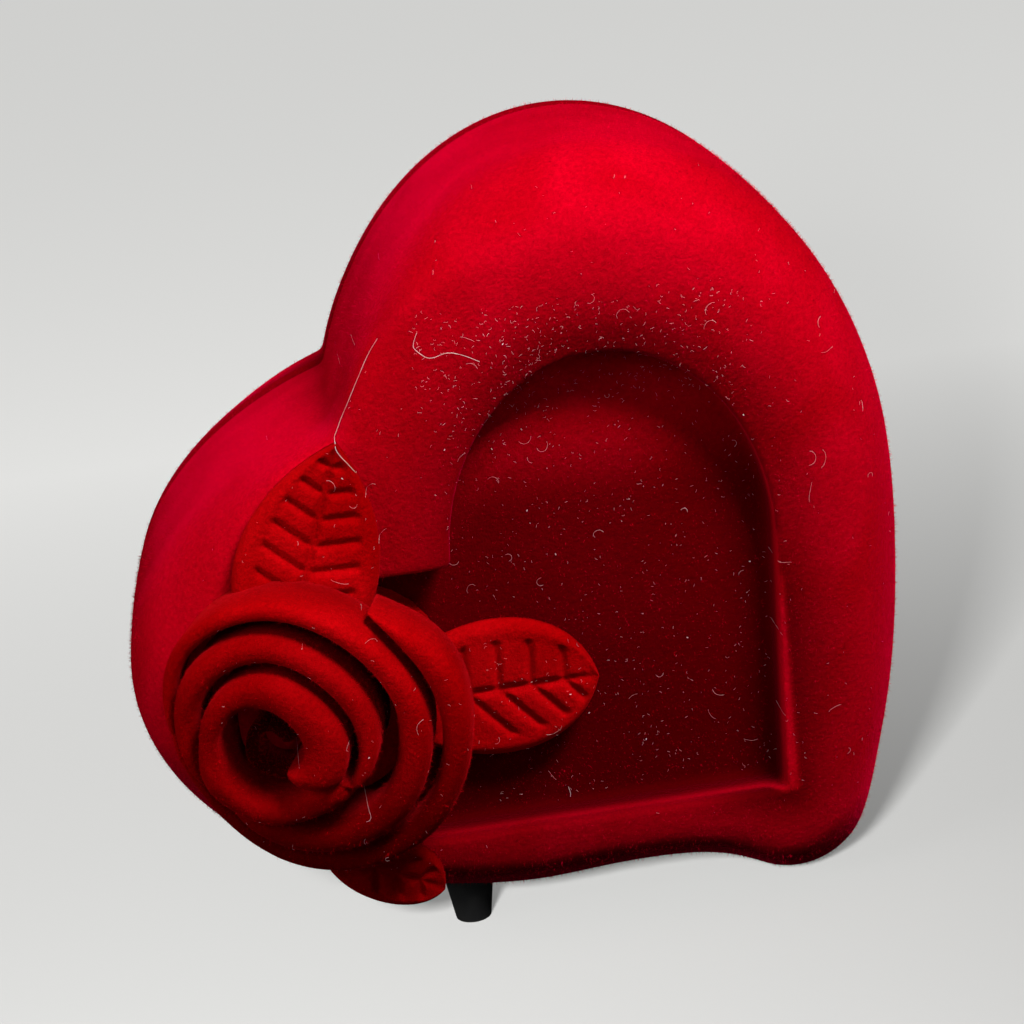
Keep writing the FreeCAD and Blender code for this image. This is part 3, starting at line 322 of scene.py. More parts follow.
def arch_curve():
    """Points along the rim of the recess: along its bottom, up its right side and over its crown."""
    turns = np.linspace(0, math.pi, 90)
    crown_x = ARCH_CENTRE_X + ARCH_HALF_WIDTH * np.cos(turns)
    crown_z = ARCH_SPRING_Z + ARCH_RISE * np.sin(turns)
    crown = np.stack([crown_x, crown_z], 1)
    climb = np.linspace(0, 1, 60)[:, None]
    start = np.array([0.0, ARCH_BOTTOM_Z])
    corner = np.array([ARCH_CENTRE_X + ARCH_HALF_WIDTH - ARCH_FOOT_INSET, ARCH_BOTTOM_Z])
    bottom = start + climb * (corner - start)
    side = corner + climb * (crown[0] - corner)
    return np.concatenate([bottom, side, crown])


def heart_curve():
    """Points round the heart's outline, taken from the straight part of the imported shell's side."""
    points = coordinates(frame["nodes"]["front_shell"].data)
    band = points[np.abs(points[:, 1] - STRAIGHT_SIDE_Y) < STRAIGHT_SIDE_BAND][:, [0, 2]]
    from_middle = band - np.array(HEART_MIDDLE)
    angles = np.round(np.degrees(np.arctan2(from_middle[:, 1], from_middle[:, 0]))).astype(int)
    reach = np.sqrt((from_middle**2).sum(1))
    outer = [band[angles == k][np.argmax(reach[angles == k])] for k in np.unique(angles)]
    return np.array(outer)


def nearest(points, targets):
    """The distance from each point to the nearest target, both in the face's plane."""
    batch = 4000
    result = np.empty(len(points))
    for start in range(0, len(points), batch):
        part = points[start:start + batch]
        gaps = part[:, None, :] - targets[None, :, :]
        result[start:start + batch] = np.sqrt((gaps**2).sum(2).min(1))
    return result


def inside_arch(x, z):
    crown = ((x - ARCH_CENTRE_X) / ARCH_HALF_WIDTH) ** 2 + ((z - ARCH_SPRING_Z) / ARCH_RISE) ** 2 < 1
    low = (z > ARCH_BOTTOM_Z) & (z <= ARCH_SPRING_Z) & (x > -2) & (x < ARCH_CENTRE_X + ARCH_HALF_WIDTH)
    return low | (crown & (z > ARCH_SPRING_Z))


def relaxed(mesh, values, passes):
    """Even out a value per vertex by averaging it along the mesh's edges."""
    ends = np.empty(len(mesh.edges) * 2, dtype=np.int64)
    mesh.edges.foreach_get("vertices", ends)
    a, b = ends.reshape(-1, 2).T
    total = len(values)
    count = np.maximum(1, np.bincount(a, minlength=total) + np.bincount(b, minlength=total))
    for _ in range(passes):
        sums = np.bincount(a, weights=values[b], minlength=total)
        sums += np.bincount(b, weights=values[a], minlength=total)
        values = 0.5 * values + 0.5 * sums / count
    return values


def form_sides(points, normals, start):
    """Crown the sides, sink the seam, and return the painted shade on the sides."""
    x, y, z = start.T
    outward = np.stack([x - CROWN_CENTRE[0], z - CROWN_CENTRE[1]], 1)
    outward /= np.sqrt((outward**2).sum(1))[:, None]
    facing_out = normals[:, 0] * outward[:, 0] + normals[:, 2] * outward[:, 1]
    outer = fade_in(facing_out, 0.1, 0.5)
    seam = np.clip(1 - np.abs(y - SEAM_GROOVE_Y) / SEAM_HALF_WIDTH, 0, 1)
    crown = CROWN * np.sin(np.pi * np.clip((y - CROWN_FRONT) / CROWN_DEPTH, 0, 1)) * fade_in(z, 8, 34)
    sideways = crown - SEAM_SINK * seam**1.3 * outer
    points[:, 0] += outward[:, 0] * sideways
    points[:, 2] += outward[:, 1] * sideways

    # painted shade: darker in the seam's groove, just behind the seam, on faces turned downwards and near
    # the ground
    in_seam = 0.98 * seam**0.7
    behind_seam = 0.60 * fade_in(y, SEAM_Y - 0.2, SEAM_Y + 1.2) * (z > 30) * (y < 51)
    underside = fade_in(-normals[:, 2], 0.10, 0.60)
    near_ground = 0.90 * fade_out(z, 7, 16)
    return np.max([in_seam, behind_seam, underside, near_ground], axis=0) * outer


def face_shade(x, y, z, from_arch, within):
    """Painted shade on the face: the recess is darkest low down, and a soft band of painted shade lies
    round its rim.
    """
    lower_part = 0.85 * fade_out(z, 64, 86) + 0.10 * np.clip((62 - z) / 42, 0, 1)
    recess = fade_in(y, 1.0, 6.0) * lower_part
    close = np.clip(1 - from_arch / RIM_SHADE_REACH, 0, 1)
    rim = 0.42 * close + 0.22 * np.clip(1 - from_arch / (2 * RIM_SHADE_REACH), 0, 1)
    rim += 0.34 * close * fade_in(x, 44, 62) * fade_out(z, 44, 66)
    return np.where(within, recess, rim)


def form_face(mesh, points, shade, start):
    """Pillow the face between the arch and the outline, and sink it at the arch's rim."""
    face = np.where(start[:, 1] < FACE_DEPTH)[0]
    if not len(face):
        return
    x, y, z = start[face].T
    flat = np.stack([x, z], 1)
    from_arch = nearest(flat, arch_curve())
    within = inside_arch(x, z)
    span = from_arch + nearest(flat, heart_curve())
    share = from_arch / np.maximum(span, 1e-6)
    swell = PILLOW * span * np.sin(np.pi * share**0.8) * fade_in(x, 6, 30) * fade_in(z, 22, 50)
    dip = RIM_DIP * np.clip(1 - from_arch / RIM_REACH, 0, 1) ** 2
    push = np.zeros(len(points))
    push[face] = np.where(within, 0.0, dip - swell)
    points[:, 1] += relaxed(mesh, push, 40)
    # painted shade over the recess and round the arch's rim
    shade[face] = np.maximum(shade[face], face_shade(x, y, z, from_arch, within))
    round_shoulder(mesh, points, start)


def round_shoulder(mesh, points, start):
    """Even out the face's edge beside the cleft, where it turns over into the side."""
    x, y, z = start.T
    place = fade_in(x, -9, -2) * fade_out(x, 9, 16) * fade_in(z, 66, 76) * fade_out(z, 98, 108)
    place *= fade_out(y, 8, 13)
    for axis in range(3):
        points[:, axis] += place * (relaxed(mesh, points[:, axis], 160) - points[:, axis])


def plump(obj):
    """Give a half of the moulded case its soft forms."""
    mesh = obj.data
    points = coordinates(mesh)
    start = points.copy()
    shade = form_sides(points, vertex_normals(mesh), start)
    form_face(mesh, points, shade, start)
    store(mesh, points)
    store_shade(mesh, relaxed(mesh, shade, 3))


voxel = 0.00050
shell = softened("front_shell", "shell_front", "shell", voxel, 14)
cover = softened("back_cover", "shell_back", "shell", voxel, 8)
for piece in (shell, cover):
    plump(piece)


# ---- the rose ------------------------------------------------------------------------------
ROSE_RIGHT = Vector((0, 0, 1)).cross(ROSE_AXIS).normalized()
ROSE_UP = ROSE_AXIS.cross(ROSE_RIGHT)

ROLL_START = 52.0                        # degrees: where the outermost petal begins
# (degrees rolled, distance from the swirl): the outside of the roll, from its outer end inwards
ROLL_OUTSIDE = [
    (0, 25.6), (24, 29.8), (48, 28.6), (89, 26.6), (126, 23.6), (168, 17.0), (206, 14.6), (240, 15.8),
    (288, 22.0), (320, 24.4), (397, 23.4), (449, 21.4), (491, 17.8), (530, 12.8), (570, 12.0),
    (615, 14.8), (658, 19.0), (688, 20.4), (736, 18.6), (767, 17.2), (800, 13.2), (834, 10.8),
    (924, 9.9), (975, 9.8), (1000, 11.6), (1024, 13.8), (1053, 15.2), (1087, 14.0), (1120, 13.2),
    (1150, 11.4), (1168, 9.0), (1200, 6.0), (1300, 4.8), (1420, 3.8), (1500, 3.0),
]
# the same for the hollow inside the innermost petals
ROLL_HOLLOW = [
    (780, 8.4), (862, 6.6), (964, 6.2), (1000, 8.0), (1030, 9.6), (1058, 9.4), (1090, 8.0), (1120, 6.4),
    (1150, 3.4), (1168, 1.6), (1200, 4.2), (1300, 2.8), (1420, 1.6), (1500, 0.6),
]
HOLLOW_FROM = 790                        # degrees rolled: from here the wall ends at the hollow
THICKEST, THINNEST = 5.0, 0.4            # of a petal's wall
GROOVE = 1.2                             # the gap between two turns of the roll
PETAL_STEP = 2                           # degrees rolled from one cut through the wall to the next
PETAL_FOOT = -0.5                        # the height at which a wall goes into the backing
LIP_STEPS = 18
LIP_DROP = 2.0                           # how much lower the lip runs at a petal's ends
OPEN_UNTIL = 365                         # degrees rolled: up to here the outer flank lies open
# painted shade on the bud, in the rose's hollow
BUD_SHADE = 0.93
# name: (from, to) in degrees rolled, outermost first
PETAL_SPANS = {
    "rose_petal_1": (0.0, 250.0),
    "rose_petal_2": (232.0, 548.0),
    "rose_petal_3": (560.0, 802.0),
    "rose_petal_4": (782.0, 1168.0),
    "rose_bud": (1180.0, 1500.0),
}


def eased(profile, rolled):
    """Read a profile of (rolled, distance) pairs, rounding off its corners."""
    places, distances = zip(*profile)
    return sum(float(np.interp(rolled + step, places, distances)) for step in (-12, -6, 0, 6, 12)) / 5


def roll_height(rolled):
    """The lip's height: it climbs towards the middle, and drops to the bud."""
    return 7.6 + 2.35 * min(rolled, 1140) / 360 - 8.5 * fade_in(rolled, 1168, 1190)


def rose_point(radius, rolled, height):
    """A point of the roll, which drifts sideways a little as it winds inwards."""
    angle = math.radians(ROLL_START - rolled)
    flattening = 0.96 if math.sin(angle) > 0 else 1.0
    drift = fade_in(rolled, 400, 760)
    u = SWIRL.x + radius * math.cos(angle) - 1.2 * drift
    v = SWIRL.y + radius * math.sin(angle) * flattening - 0.9 * drift
    return world(ROSE_CENTRE + ROSE_RIGHT * u + ROSE_UP * v + ROSE_AXIS * height)


def petal_wall(rolled):
    """The outer and inner distances of the petal wall from the swirl."""
    outer = eased(ROLL_OUTSIDE, rolled)
    if rolled > HOLLOW_FROM:
        return outer, eased(ROLL_HOLLOW, rolled)
    return outer, max(eased(ROLL_OUTSIDE, rolled + 360) + GROOVE, outer - THICKEST)


def fullness(rolled, start, end):
    """1 along a petal, falling to 0 at both of its ends."""
    share = max(0.0, min(1.0, (rolled - start) / 22, (end - rolled) / 24))
    return math.sin(share * math.pi / 2) ** 0.7


def petal_cut(rolled, full):
    """The points of a cut through a petal's wall, from outside over its lip, and the lip's height."""
    outer, inner = petal_wall(rolled)
    middle = (outer + inner) / 2
    half = max(THINNEST / 2, (outer - inner) / 2) * (0.25 + 0.75 * full)
    wave = 0.35 * math.sin(math.radians(rolled * 2.3 + 40)) + 0.2 * math.sin(math.radians(rolled * 5.1))
    top = roll_height(rolled) + wave - LIP_DROP * (1 - full)
    lip = min(3.0, half * 1.4)
    row = [rose_point(middle + half * 0.66, rolled, PETAL_FOOT)]
    for k in range(LIP_STEPS + 1):
        turn = math.pi * k / LIP_STEPS
        across = math.copysign(abs(math.cos(turn)) ** 0.80, math.cos(turn))
        rise = math.sin(turn) ** 0.85
        row.append(rose_point(middle + half * across, rolled, top - lip + lip * rise))
    row.append(rose_point(middle - half * 0.90, rolled, PETAL_FOOT))
    return row, top


def petal_shade(row, rolled, top):
    """Painted shade on the rose: darker deep between the petals, low on the rose and towards its middle."""
    shade = []
    tucked = 0.34 * fade_in(rolled, 480, 780)
    for k, point in enumerate(row):
        place = (point - world(ROSE_CENTRE)) / MM
        open_flank = k <= LIP_STEPS // 2 and rolled < OPEN_UNTIL
        deep = (0.10 if open_flank else 0.97) * fade_in(top - place.dot(ROSE_AXIS), 1.2, 4.6)
        below = 0.85 * fade_in(-place.dot(ROSE_UP), -6.0, 19.0)
        shade.append(float(max(deep, below, tucked)))
    return shade


def make_petal(name, start, end):
    """One petal of the roll: a thick wall with a full, rounded lip that thins away at both ends."""
    steps = int((end - start) / PETAL_STEP)
    points, shade = [], []
    for i in range(steps + 1):
        rolled = start + (end - start) * i / steps
        row, top = petal_cut(rolled, fullness(rolled, start, end))
        points += row
        shade += petal_shade(row, rolled, top)
    # the bud is evenly darkened by painted shade
    if name == "rose_bud":
        shade = [BUD_SHADE] * len(points)
    columns = LIP_STEPS + 3
    faces = band_faces(steps + 1, columns, closed=True)
    faces.append(tuple(range(columns - 1, -1, -1)))
    faces.append(tuple(steps * columns + j for j in range(columns)))
    obj = mesh_object("flocked_" + name, points, faces, "rose")
    store_shade(obj.data, shade)
    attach(obj, "case")
    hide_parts(name)
    return obj


petals = [make_petal(name, *span) for name, span in PETAL_SPANS.items()]
backing = softened("rose_backing", "flocked_rose_backing", "rose", 0.0006, 8)


# ---- the leaves ----------------------------------------------------------------------------
LEAF_ROWS, LEAF_COLUMNS = 150, 90
LEAF_BULGE = 4 / 3
LEAF_THICKNESS, LEAF_RIM = 1.75, 0.30
MIDRIB_DEPTH, MIDRIB_WIDTH = 0.95, 0.62
VEIN_DEPTH, VEIN_WIDTH, VEIN_REACH = 0.85, 0.60, 0.74
VEIN_CLEAR_OF_TIP = 2.5
# painted shade on the lower leaf, under the rose
LOWER_LEAF_SHADE = 0.55
# name: (base, tip, half width, swell, close, vein lean on the left, on the right, vein spacing, first vein)
LEAVES = {
    "leaf_upper": ((-9.5, -2.0, 52.0), (2.0, -0.4, 83.0), 10.6, 0.05, 0.66, 68.0, 72.0, 4.0, 9.5),
    "leaf_right": ((1.0, 5.4, 39.5), (36.3, 4.0, 40.2), 10.9, 0.3, 0.9, 86.0, 50.0, 5.0, 15.0),
    "leaf_lower": ((-9.0, -1.8, 20.5), (8.6, 0.6, 10.8), 5.4, 0.25, 0.97, 64.0, 64.0, 3.6, 9.0),
}


def cubic(a, b, c, d, t):
    return a * (1 - t) ** 3 + 3 * b * t * (1 - t) ** 2 + 3 * c * t * t * (1 - t) + d * t**3


def vein_depth(x, y, width, length, lean, veins):
    """How deep a point of the leaf is sunk into the midrib or a side vein."""
    sunk = MIDRIB_DEPTH * math.exp(-((y / MIDRIB_WIDTH) ** 2)) * min(1.0, (length - x) / 5)
    reach = max(0.0, min(1.0, (VEIN_REACH * width - abs(y)) / 0.8))
    for place in veins:
        off = (x - place) * math.sin(lean) - abs(y) * math.cos(lean)
        sunk = max(sunk, VEIN_DEPTH * reach * math.exp(-((off / VEIN_WIDTH) ** 2)))
    return sunk


def leaf_faces():
    """The front, the back and the two long edges between them."""
    columns = LEAF_COLUMNS + 1
    total = (LEAF_ROWS + 1) * columns
    faces = band_faces(LEAF_ROWS + 1, columns)
    faces += [tuple(total + k for k in reversed(face)) for face in faces]
    for i in range(LEAF_ROWS):
        a, b = i * columns, (i + 1) * columns
        faces.append((b, a, total + a, total + b))
    for i in range(LEAF_ROWS):
        a, b = i * columns + LEAF_COLUMNS, (i + 1) * columns + LEAF_COLUMNS
        faces.append((a, b, total + b, total + a))
    return faces


def make_leaf(name, base, tip, half_width, swell, close, lean_left, lean_right, spacing, first):
    """A padded leaf: rounded edge, sunk midrib and sunk side veins."""
    base, tip = Vector(base), Vector(tip)
    length = (tip - base).length
    along = (tip - base).normalized()
    across = along.cross(Vector((0, 1, 0))).normalized()
    out = across.cross(along).normalized()
    if out.y > 0:
        out = -out
    veins = [first + spacing * k for k in range(int((length - first - VEIN_CLEAR_OF_TIP) / spacing) + 1)]
    front, back = [], []
    for i in range(LEAF_ROWS + 1):
        t = i / LEAF_ROWS
        x = cubic(0, length * swell, length * close, length, t)
        width = max(0.02, half_width * LEAF_BULGE * 3 * t * (1 - t))
        for j in range(LEAF_COLUMNS + 1):
            s = math.sin((j / LEAF_COLUMNS - 0.5) * math.pi)
            y = width * s
            edge = (1 - abs(s) ** 5) ** 0.45
            rim = LEAF_RIM * math.exp(-(((abs(s) - 0.86) * width / 1.1) ** 2))
            lean = math.radians(lean_left if y > 0 else lean_right)
            sunk = vein_depth(x, y, width, length, lean, veins)
            height = 0.25 + LEAF_THICKNESS * edge + rim - sunk * edge
            point = base + along * x + across * y
            front.append(world(point + out * height))
            back.append(world(point - out * 0.1 * edge))
    obj = mesh_object("flocked_" + name, front + back, leaf_faces(), "rose")
    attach(obj, "case")
    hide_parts(name)
    return obj


leaves = [make_leaf(name, *values) for name, values in LEAVES.items()]
# painted shade over the whole lower leaf
lower_leaf = leaves[-1].data
store_shade(lower_leaf, [LOWER_LEAF_SHADE] * len(lower_leaf.vertices))


# ---- pile and lint -------------------------------------------------------------------------
FIBRE_HALF_WIDTH = 0.022
FIBRE_SPREAD, FIBRE_UPRIGHT = 0.75, 0.4
CASE_MIDDLE = (CROWN_CENTRE[0], 28.0, CROWN_CENTRE[1])
FACES_OUT = 0.012                        # metres from the middle to the plane of an outer wall, at least


def triangles(mesh):
    """The corners of every triangle, its unit normal, and a weight that grows with its size."""
    mesh.calc_loop_triangles()
    corners = np.empty(len(mesh.loop_triangles) * 3, dtype=np.int64)
    mesh.loop_triangles.foreach_get("vertices", corners)
    flat = np.empty(len(mesh.vertices) * 3)
    mesh.vertices.foreach_get("co", flat)
    a, b, c = np.transpose(flat.reshape(-1, 3)[corners.reshape(-1, 3)], (1, 0, 2))
    up = np.cross(b - a, c - a)
    size = np.sqrt((up**2).sum(1)) + 1e-15
    return a, b, c, up / size[:, None], size


def scattered(source, count, chooser):
    """Places spread evenly over a piece, with their normals. The inside of the case gets none."""
    a, b, c, up, weight = triangles(source.data)
    if source in (shell, cover):
        away = (a + b + c) / 3 - np.array(world(CASE_MIDDLE))
        weight = weight * ((up * away).sum(1) > FACES_OUT)
    picks = chooser.choice(len(weight), count, p=weight / weight.sum())
    u, v = chooser.random((2, count))
    flip = u + v > 1
    u, v = np.where(flip, 1 - u, u), np.where(flip, 1 - v, v)
    return a[picks] + u[:, None] * (b - a)[picks] + v[:, None] * (c - a)[picks], up[picks]


def grow_pile(name, sources, count, key, reach, seed):
    """Thin leaning fibres, one triangle each, over some pieces. The back cover gets half as many."""
    chooser = np.random.default_rng(seed)
    grown = [scattered(source, count // 2 if source is cover else count, chooser) for source in sources]
    spots, ups = (np.concatenate(part) for part in zip(*grown))
    total = len(spots)
    lean = ups + FIBRE_SPREAD * chooser.normal(size=(total, 3))
    lean /= np.sqrt((lean**2).sum(1))[:, None]
    lean += ups * FIBRE_UPRIGHT
    side = np.cross(lean, chooser.normal(size=(total, 3)))
    side /= np.sqrt((side**2).sum(1))[:, None]
    width = FIBRE_HALF_WIDTH * MM * (0.6 + chooser.random(total))[:, None]
    length = reach * MM * (0.4 + 0.8 * chooser.random(total))[:, None]
    points = np.stack([spots - side * width, spots + side * width, spots + lean * length], 1).reshape(-1, 3)
    points[:, 2] = np.maximum(points[:, 2], 0.0)
    faces = [(3 * i, 3 * i + 1, 3 * i + 2) for i in range(total)]
    pile = mesh_object(name, points, faces, key, rounded=False)
    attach(pile, "case")
    return pile


def strand(points, radius):
    """The corners and faces of a thin three-sided thread through some points."""
    corners, faces = [], []
    for i, point in enumerate(points):
        along = (points[min(i + 1, len(points) - 1)] - points[max(i - 1, 0)]).normalized()
        side = along.cross(Vector((0.3, 1.0, 0.2))).normalized()
        other = along.cross(side)
        for k in range(3):
            turn = 2 * math.pi * k / 3
            corners.append(point + (side * math.cos(turn) + other * math.sin(turn)) * radius)
        if i:
            low = 3 * (i - 1)
            faces += [(low + k, low + (k + 1) % 3, low + 3 + (k + 1) % 3, low + 3 + k) for k in range(3)]
    return corners, faces


class Dust:
    """Lint lying on the front of the box: every thread is dropped straight back onto the surface."""

    def __init__(self, pieces):
        self.trees = [BVHTree.FromObject(piece, bpy.context.evaluated_depsgraph_get()) for piece in pieces]
        self.corners, self.faces = [], []

    def surface(self, x, z):
        """The first place that is met behind a point of the face's plane."""
        start, hits = world((x, -40.0, z)), []
        for tree in self.trees:
            place, _, _, distance = tree.ray_cast(start, Vector((0, 1, 0)))
            if place is not None:
                hits.append((distance, place))
        return min(hits, key=lambda hit: hit[0])[1] if hits else None

    def lay(self, path, radius, lift):
        """Lay a thread along a path, leaving out the places with nothing behind them."""
        points = [self.surface(x, z) for x, z in path]
        points = [p - Vector((0, lift * MM, 0)) for p in points if p is not None]
        if len(points) < 2:
            return
        corners, faces = strand(points, radius * MM)
        shift = len(self.corners)
        self.corners += corners
        self.faces += [tuple(k + shift for k in face) for face in faces]

    def curl(self, chooser, x, z, length, bend):
        """A thread that wanders from a starting point."""
        heading = chooser.uniform(0, 2 * math.pi)
        turn = chooser.uniform(-bend, bend)
        path, steps = [(x, z)], max(3, int(length / 0.35))
        for _ in range(steps):
            heading += turn / steps + chooser.gauss(0, 0.12)
            x += math.cos(heading) * length / steps
            z += math.sin(heading) * length / steps
            path.append((x, z))
        return path


# (x, z) of the few long threads, on the face
LONG_THREADS = [
    [
        (10.0, 96.8), (8.2, 94.4), (6.2, 91.0), (4.2, 87.4),
        (2.6, 84.4), (1.9, 82.6), (3.4, 80.0), (4.4, 78.2),
    ],
    [(15.6, 97.4), (14.9, 95.8), (15.1, 94.9), (16.9, 93.5), (19.6, 94.0), (21.9, 93.3), (23.9, 92.2)],
    [(30.1, 20.0), (30.3, 18.9), (30.2, 18.3)],
    [(-3.4, 84.4), (-2.2, 83.6), (-1.8, 82.5)],
]
THREAD_RADIUS, SPECK_RADIUS = 0.031, 0.07
SPECKS = 16
LINT_LIFT = 0.35                         # how far lint stands off the surface under it
# (how many, x from, x to, z from, z to, shortest, longest, bend, radius)
DUSTINGS = [
    (420, -20, 84, 14, 116, 0.10, 0.55, 2.0, 0.019),
    (620, 16, 66, 18, 98, 0.08, 0.55, 2.5, 0.018),
    (420, 14, 60, 80, 100, 0.10, 0.70, 3.0, 0.018),
    (50, -8, 80, 20, 100, 1.2, 3.2, 4.0, 0.020),
]


def curved(p, q, r, w, t):
    """A number part of the way from q to r along a smooth curve whose neighbours are p and w."""
    bend = (2 * p - 5 * q + 4 * r - w) * t**2
    twist = (3 * q - p - 3 * r + w) * t**3
    return 0.5 * (2 * q + (r - p) * t + bend + twist)


def drawn(path, pieces=6):
    """A smooth curve through some points."""
    path = [path[0]] + list(path) + [path[-1]]
    curve = []
    for a, b, c, d in zip(path, path[1:], path[2:], path[3:]):
        for k in range(pieces):
            curve.append(tuple(curved(*numbers, k / pieces) for numbers in zip(a, b, c, d)))
    return curve + [path[-1]]


def scatter_lint():
    """Short lint over the front, then a few long threads and bright specks."""
    chooser = random.Random(SEED)
    dust = Dust([shell, backing] + petals + leaves)
    for count, x0, x1, z0, z1, shortest, longest, bend, radius in DUSTINGS:
        for _ in range(count):
            x, z = chooser.uniform(x0, x1), chooser.uniform(z0, z1)
            dust.lay(dust.curl(chooser, x, z, chooser.uniform(shortest, longest), bend), radius, LINT_LIFT)
    finish_dust(dust, "lint", "lint")
    specks = Dust([shell, backing] + petals + leaves)
    for path in LONG_THREADS:
        specks.lay(drawn(path), THREAD_RADIUS, 0.5)
    for _ in range(SPECKS):
        x, z = chooser.uniform(0, 80), chooser.uniform(18, 104)
        specks.lay(specks.curl(chooser, x, z, 0.25, 1.0), SPECK_RADIUS, LINT_LIFT)
    finish_dust(specks, "specks", "speck")


def finish_dust(dust, name, key):
    """Make one piece of all the threads that were laid."""
    lint = mesh_object(name, dust.corners, dust.faces, key)
    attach(lint, "case")


case_fibres = 80000
rose_fibres = case_fibres // 20          # on each petal and leaf
grow_pile("pile_case", [shell, cover], case_fibres, "fibre", 0.42, SEED)
grow_pile("pile_rose", petals + leaves, rose_fibres, "rose_fibre", 0.45, SEED + 1)
scatter_lint()


# ---- the parts that keep their CAD shapes --------------------------------------------------
CAD_LOOKS = {
    "foot_front": "rubber", "foot_rear": "rubber",
    "case_screws": "steel", "movement_screws": "steel", "comb_screws": "steel",
    "bridge_screws": "steel", "bracket_screws": "steel",
    "bedplate": "zinc", "comb": "comb", "barrel_bridge": "steel", "governor_bracket": "steel",
    "clutch_spring": "spring", "winding_key": "gilt", "winding_arbor": "steel",
    "spring_barrel": "brass", "barrel_lid": "brass", "mainspring": "spring",
    "cylinder": "brass", "cylinder_pins": "steel", "cylinder_arbor": "steel",
    "cylinder_pinion": "steel", "cylinder_wheel": "brass",
    "intermediate_arbor": "steel", "worm_wheel": "nylon", "worm_shaft": "steel", "governor_fan": "nylon",
}
for node, key in CAD_LOOKS.items():
    paint(frame["nodes"][node], key)
bevelled("winding_key", 0.0004)
bevelled("foot_front", 0.0006)
bevelled("foot_rear", 0.0006)


# ---- floor, light and camera ---------------------------------------------------------------
FLOOR_REACH = 12.0                       # metres from the object to each edge of the floor
FLOOR_CORNERS = [(-1, -1), (1, -1), (1, 1), (-1, 1)]
GLOW_LINE_Y = -0.25                      # the floor glows least along this line, in metres
GLOW_FROM, GLOW_TO, GLOW_MOST = 0.07, 0.51, 0.62
SKY_FULL_AT, SKY_STRENGTH = 0.6, 0.10    # full strength where a direction's z reaches the first


def make_floor():
    """A pale floor that glows a little more the farther it lies behind or in front of the object."""
    n = Nodes("pale_floor")
    cloud = n.noise(1.6, 2.0, 0.5)
    colour = n.mix(n.spread(cloud, 0.3, 0.7), (0.155, 0.155, 0.152), (0.165, 0.165, 0.162))
    n.link(colour, n.shader.inputs["Base Color"])
    n.link(n.spread(cloud, 0.3, 0.7, 0.75, 0.85), n.shader.inputs["Roughness"])
    split = n.add("ShaderNodeSeparateXYZ")
    n.link(n.coords, split.inputs["Vector"])
    distance = n.arithmetic("ABSOLUTE", n.arithmetic("SUBTRACT", split.outputs["Y"], GLOW_LINE_Y))
    n.link(n.spread(distance, GLOW_FROM, GLOW_TO, 0.0, GLOW_MOST), n.shader.inputs["Emission Strength"])
    n.set(Emission_Color=(1.0, 1.0, 0.98, 1.0), Specular_IOR_Level=0.0)
    n.bump(n.noise(300.0), 0.05, 0.0002)
    MATERIALS["floor"] = n.material
    corners = [(FLOOR_REACH * across, FLOOR_REACH * back, 0) for across, back in FLOOR_CORNERS]
    floor = mesh_object("floor", corners, [(0, 1, 2, 3)], "floor", rounded=False)
    floor.visible_diffuse = False
    floor.visible_glossy = False
    return floor


def make_receivers(floor):
    """Two collections for light linking: the floor alone, and everything but the floor."""
    floor_only = bpy.data.collections.new("floor_only")
    floor_only.objects.link(floor)
    all_but_floor = bpy.data.collections.new("all_but_floor")
    all_but_floor.objects.link(floor)
    all_but_floor.collection_objects[0].light_linking.link_state = "EXCLUDE"
    return floor_only, all_but_floor


def add_light(name, place, target, size, power, colour=(1, 1, 1), receivers=None):
    lamp = bpy.data.lights.new(name, "AREA")
    lamp.shape = "RECTANGLE"
    lamp.size, lamp.size_y = size
    lamp.energy = power
    lamp.color = colour
    obj = bpy.data.objects.new(name, lamp)
    obj.location = place
    obj.rotation_euler = (Vector(target) - Vector(place)).to_track_quat("-Z", "Y").to_euler()
    bpy.context.scene.collection.objects.link(obj)
    if receivers:
        obj.light_linking.receiver_collection = receivers


def make_lights(floor_only, all_but_floor):
    """A near key light, three fills, and a light whose only work is the soft shadow on the floor."""
    middle = (0.0, 0.0, 0.06)
    warm = (1.0, 0.98, 0.96)
    white = (1, 1, 1)
    upper = (0.02, -0.02, 0.09)
    add_light("key_light", (0.15, -0.23, 0.385), upper, (0.14, 0.10), 2.15, warm, all_but_floor)
    add_light("left_light", (-0.42, -0.20, 0.29), middle, (0.3, 0.3), 1.25)
    add_light("front_fill", (0.1, -0.9, 0.42), middle, (0.7, 0.5), 1.1)
    add_light("back_light", (0.05, 0.75, 0.20), middle, (0.5, 0.3), 1.3, white, all_but_floor)
    far = (0.2, 1.6, 0.25)
    add_light("halo_light", (-0.10, -0.38, 0.215), far, (0.06, 0.06), 11.5, white, floor_only)


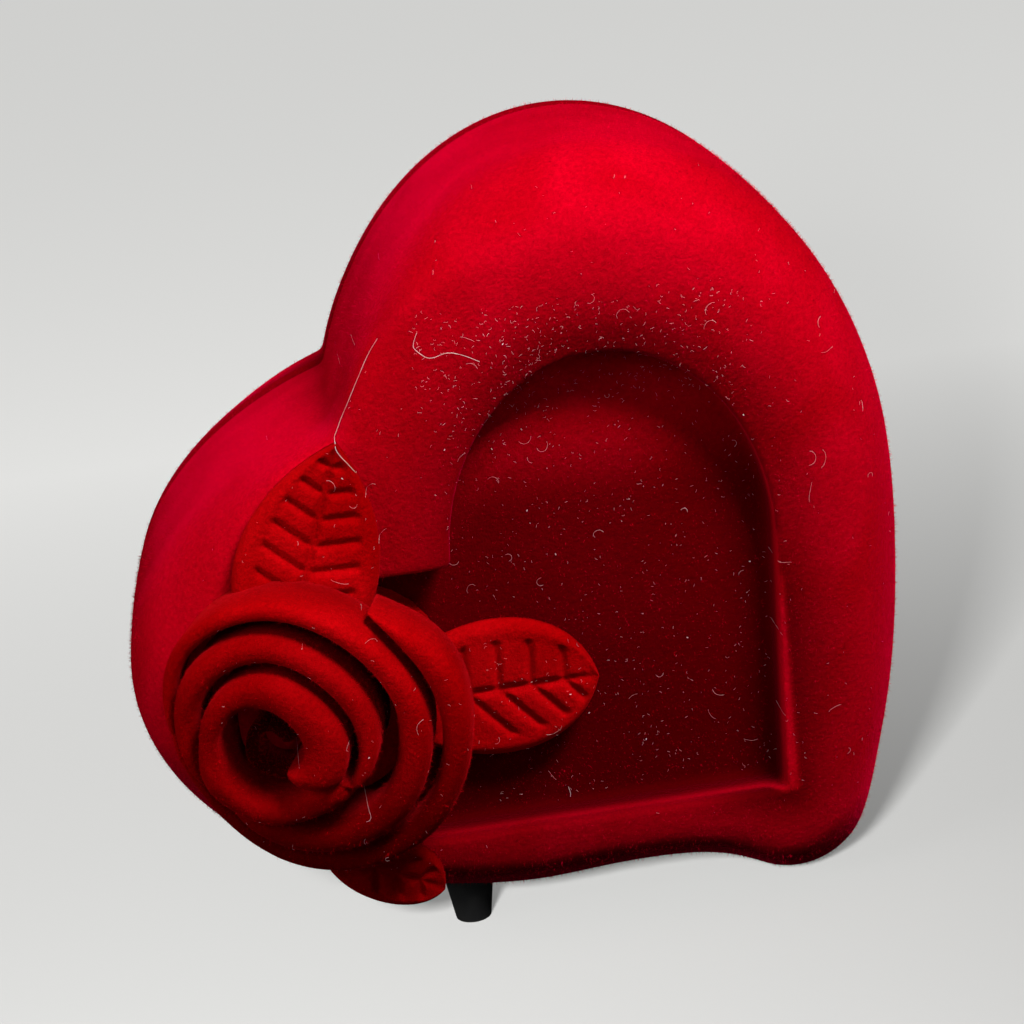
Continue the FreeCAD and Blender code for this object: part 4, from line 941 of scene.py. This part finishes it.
def make_world():
    """Faint light from above, fading to none at the horizon."""
    studio = bpy.data.worlds.new("studio")
    studio.use_nodes = True
    tree = studio.node_tree
    coords = tree.nodes.new("ShaderNodeTexCoord")
    split = tree.nodes.new("ShaderNodeSeparateXYZ")
    ramp = tree.nodes.new("ShaderNodeMapRange")
    ramp.inputs["From Min"].default_value = 0.0
    ramp.inputs["From Max"].default_value = SKY_FULL_AT
    ramp.inputs["To Max"].default_value = SKY_STRENGTH
    tree.links.new(coords.outputs["Generated"], split.inputs["Vector"])
    tree.links.new(split.outputs["Z"], ramp.inputs["Value"])
    tree.links.new(ramp.outputs["Result"], tree.nodes["Background"].inputs["Strength"])
    bpy.context.scene.world = studio


CAMERA_TURN = -4.75
CAMERA_RISE = 18.05
CAMERA_ROLL = -6.67
CAMERA_DISTANCE = 393.8
CAMERA_TARGET = Vector((33.6, 25.0, 62.8))
CAMERA_LENS = 88.5
AIM_RIGHT, AIM_UP = -0.01403, -0.00842   # how far off the target the picture's middle lies


def make_camera():
    """A camera at the photograph's viewing angle, aimed a little off the target."""
    turn, rise, roll = (math.radians(v) for v in (CAMERA_TURN, CAMERA_RISE, CAMERA_ROLL))
    forward = Vector((-math.sin(turn) * math.cos(rise), math.cos(turn) * math.cos(rise), -math.sin(rise)))
    level = Vector((math.cos(turn), math.sin(turn), 0))
    right = level * math.cos(roll) + level.cross(forward) * math.sin(roll)
    up = right.cross(forward)
    place = CAMERA_TARGET - forward * CAMERA_DISTANCE
    aim = (forward + right * AIM_RIGHT + up * AIM_UP).normalized()
    right = (right - aim * right.dot(aim)).normalized()
    up = right.cross(aim)
    lens = bpy.data.cameras.new("camera")
    lens.lens = CAMERA_LENS
    lens.sensor_width = 36.0
    lens.clip_start, lens.clip_end = 0.01, 50.0
    camera = bpy.data.objects.new("camera", lens)
    camera.matrix_world = Matrix.Translation(world(place)) @ Matrix((right, up, -aim)).transposed().to_4x4()
    bpy.context.scene.collection.objects.link(camera)
    bpy.context.scene.camera = camera


make_lights(*make_receivers(make_floor()))
make_world()
make_camera()
bpy.context.scene.view_settings.view_transform = "Standard"
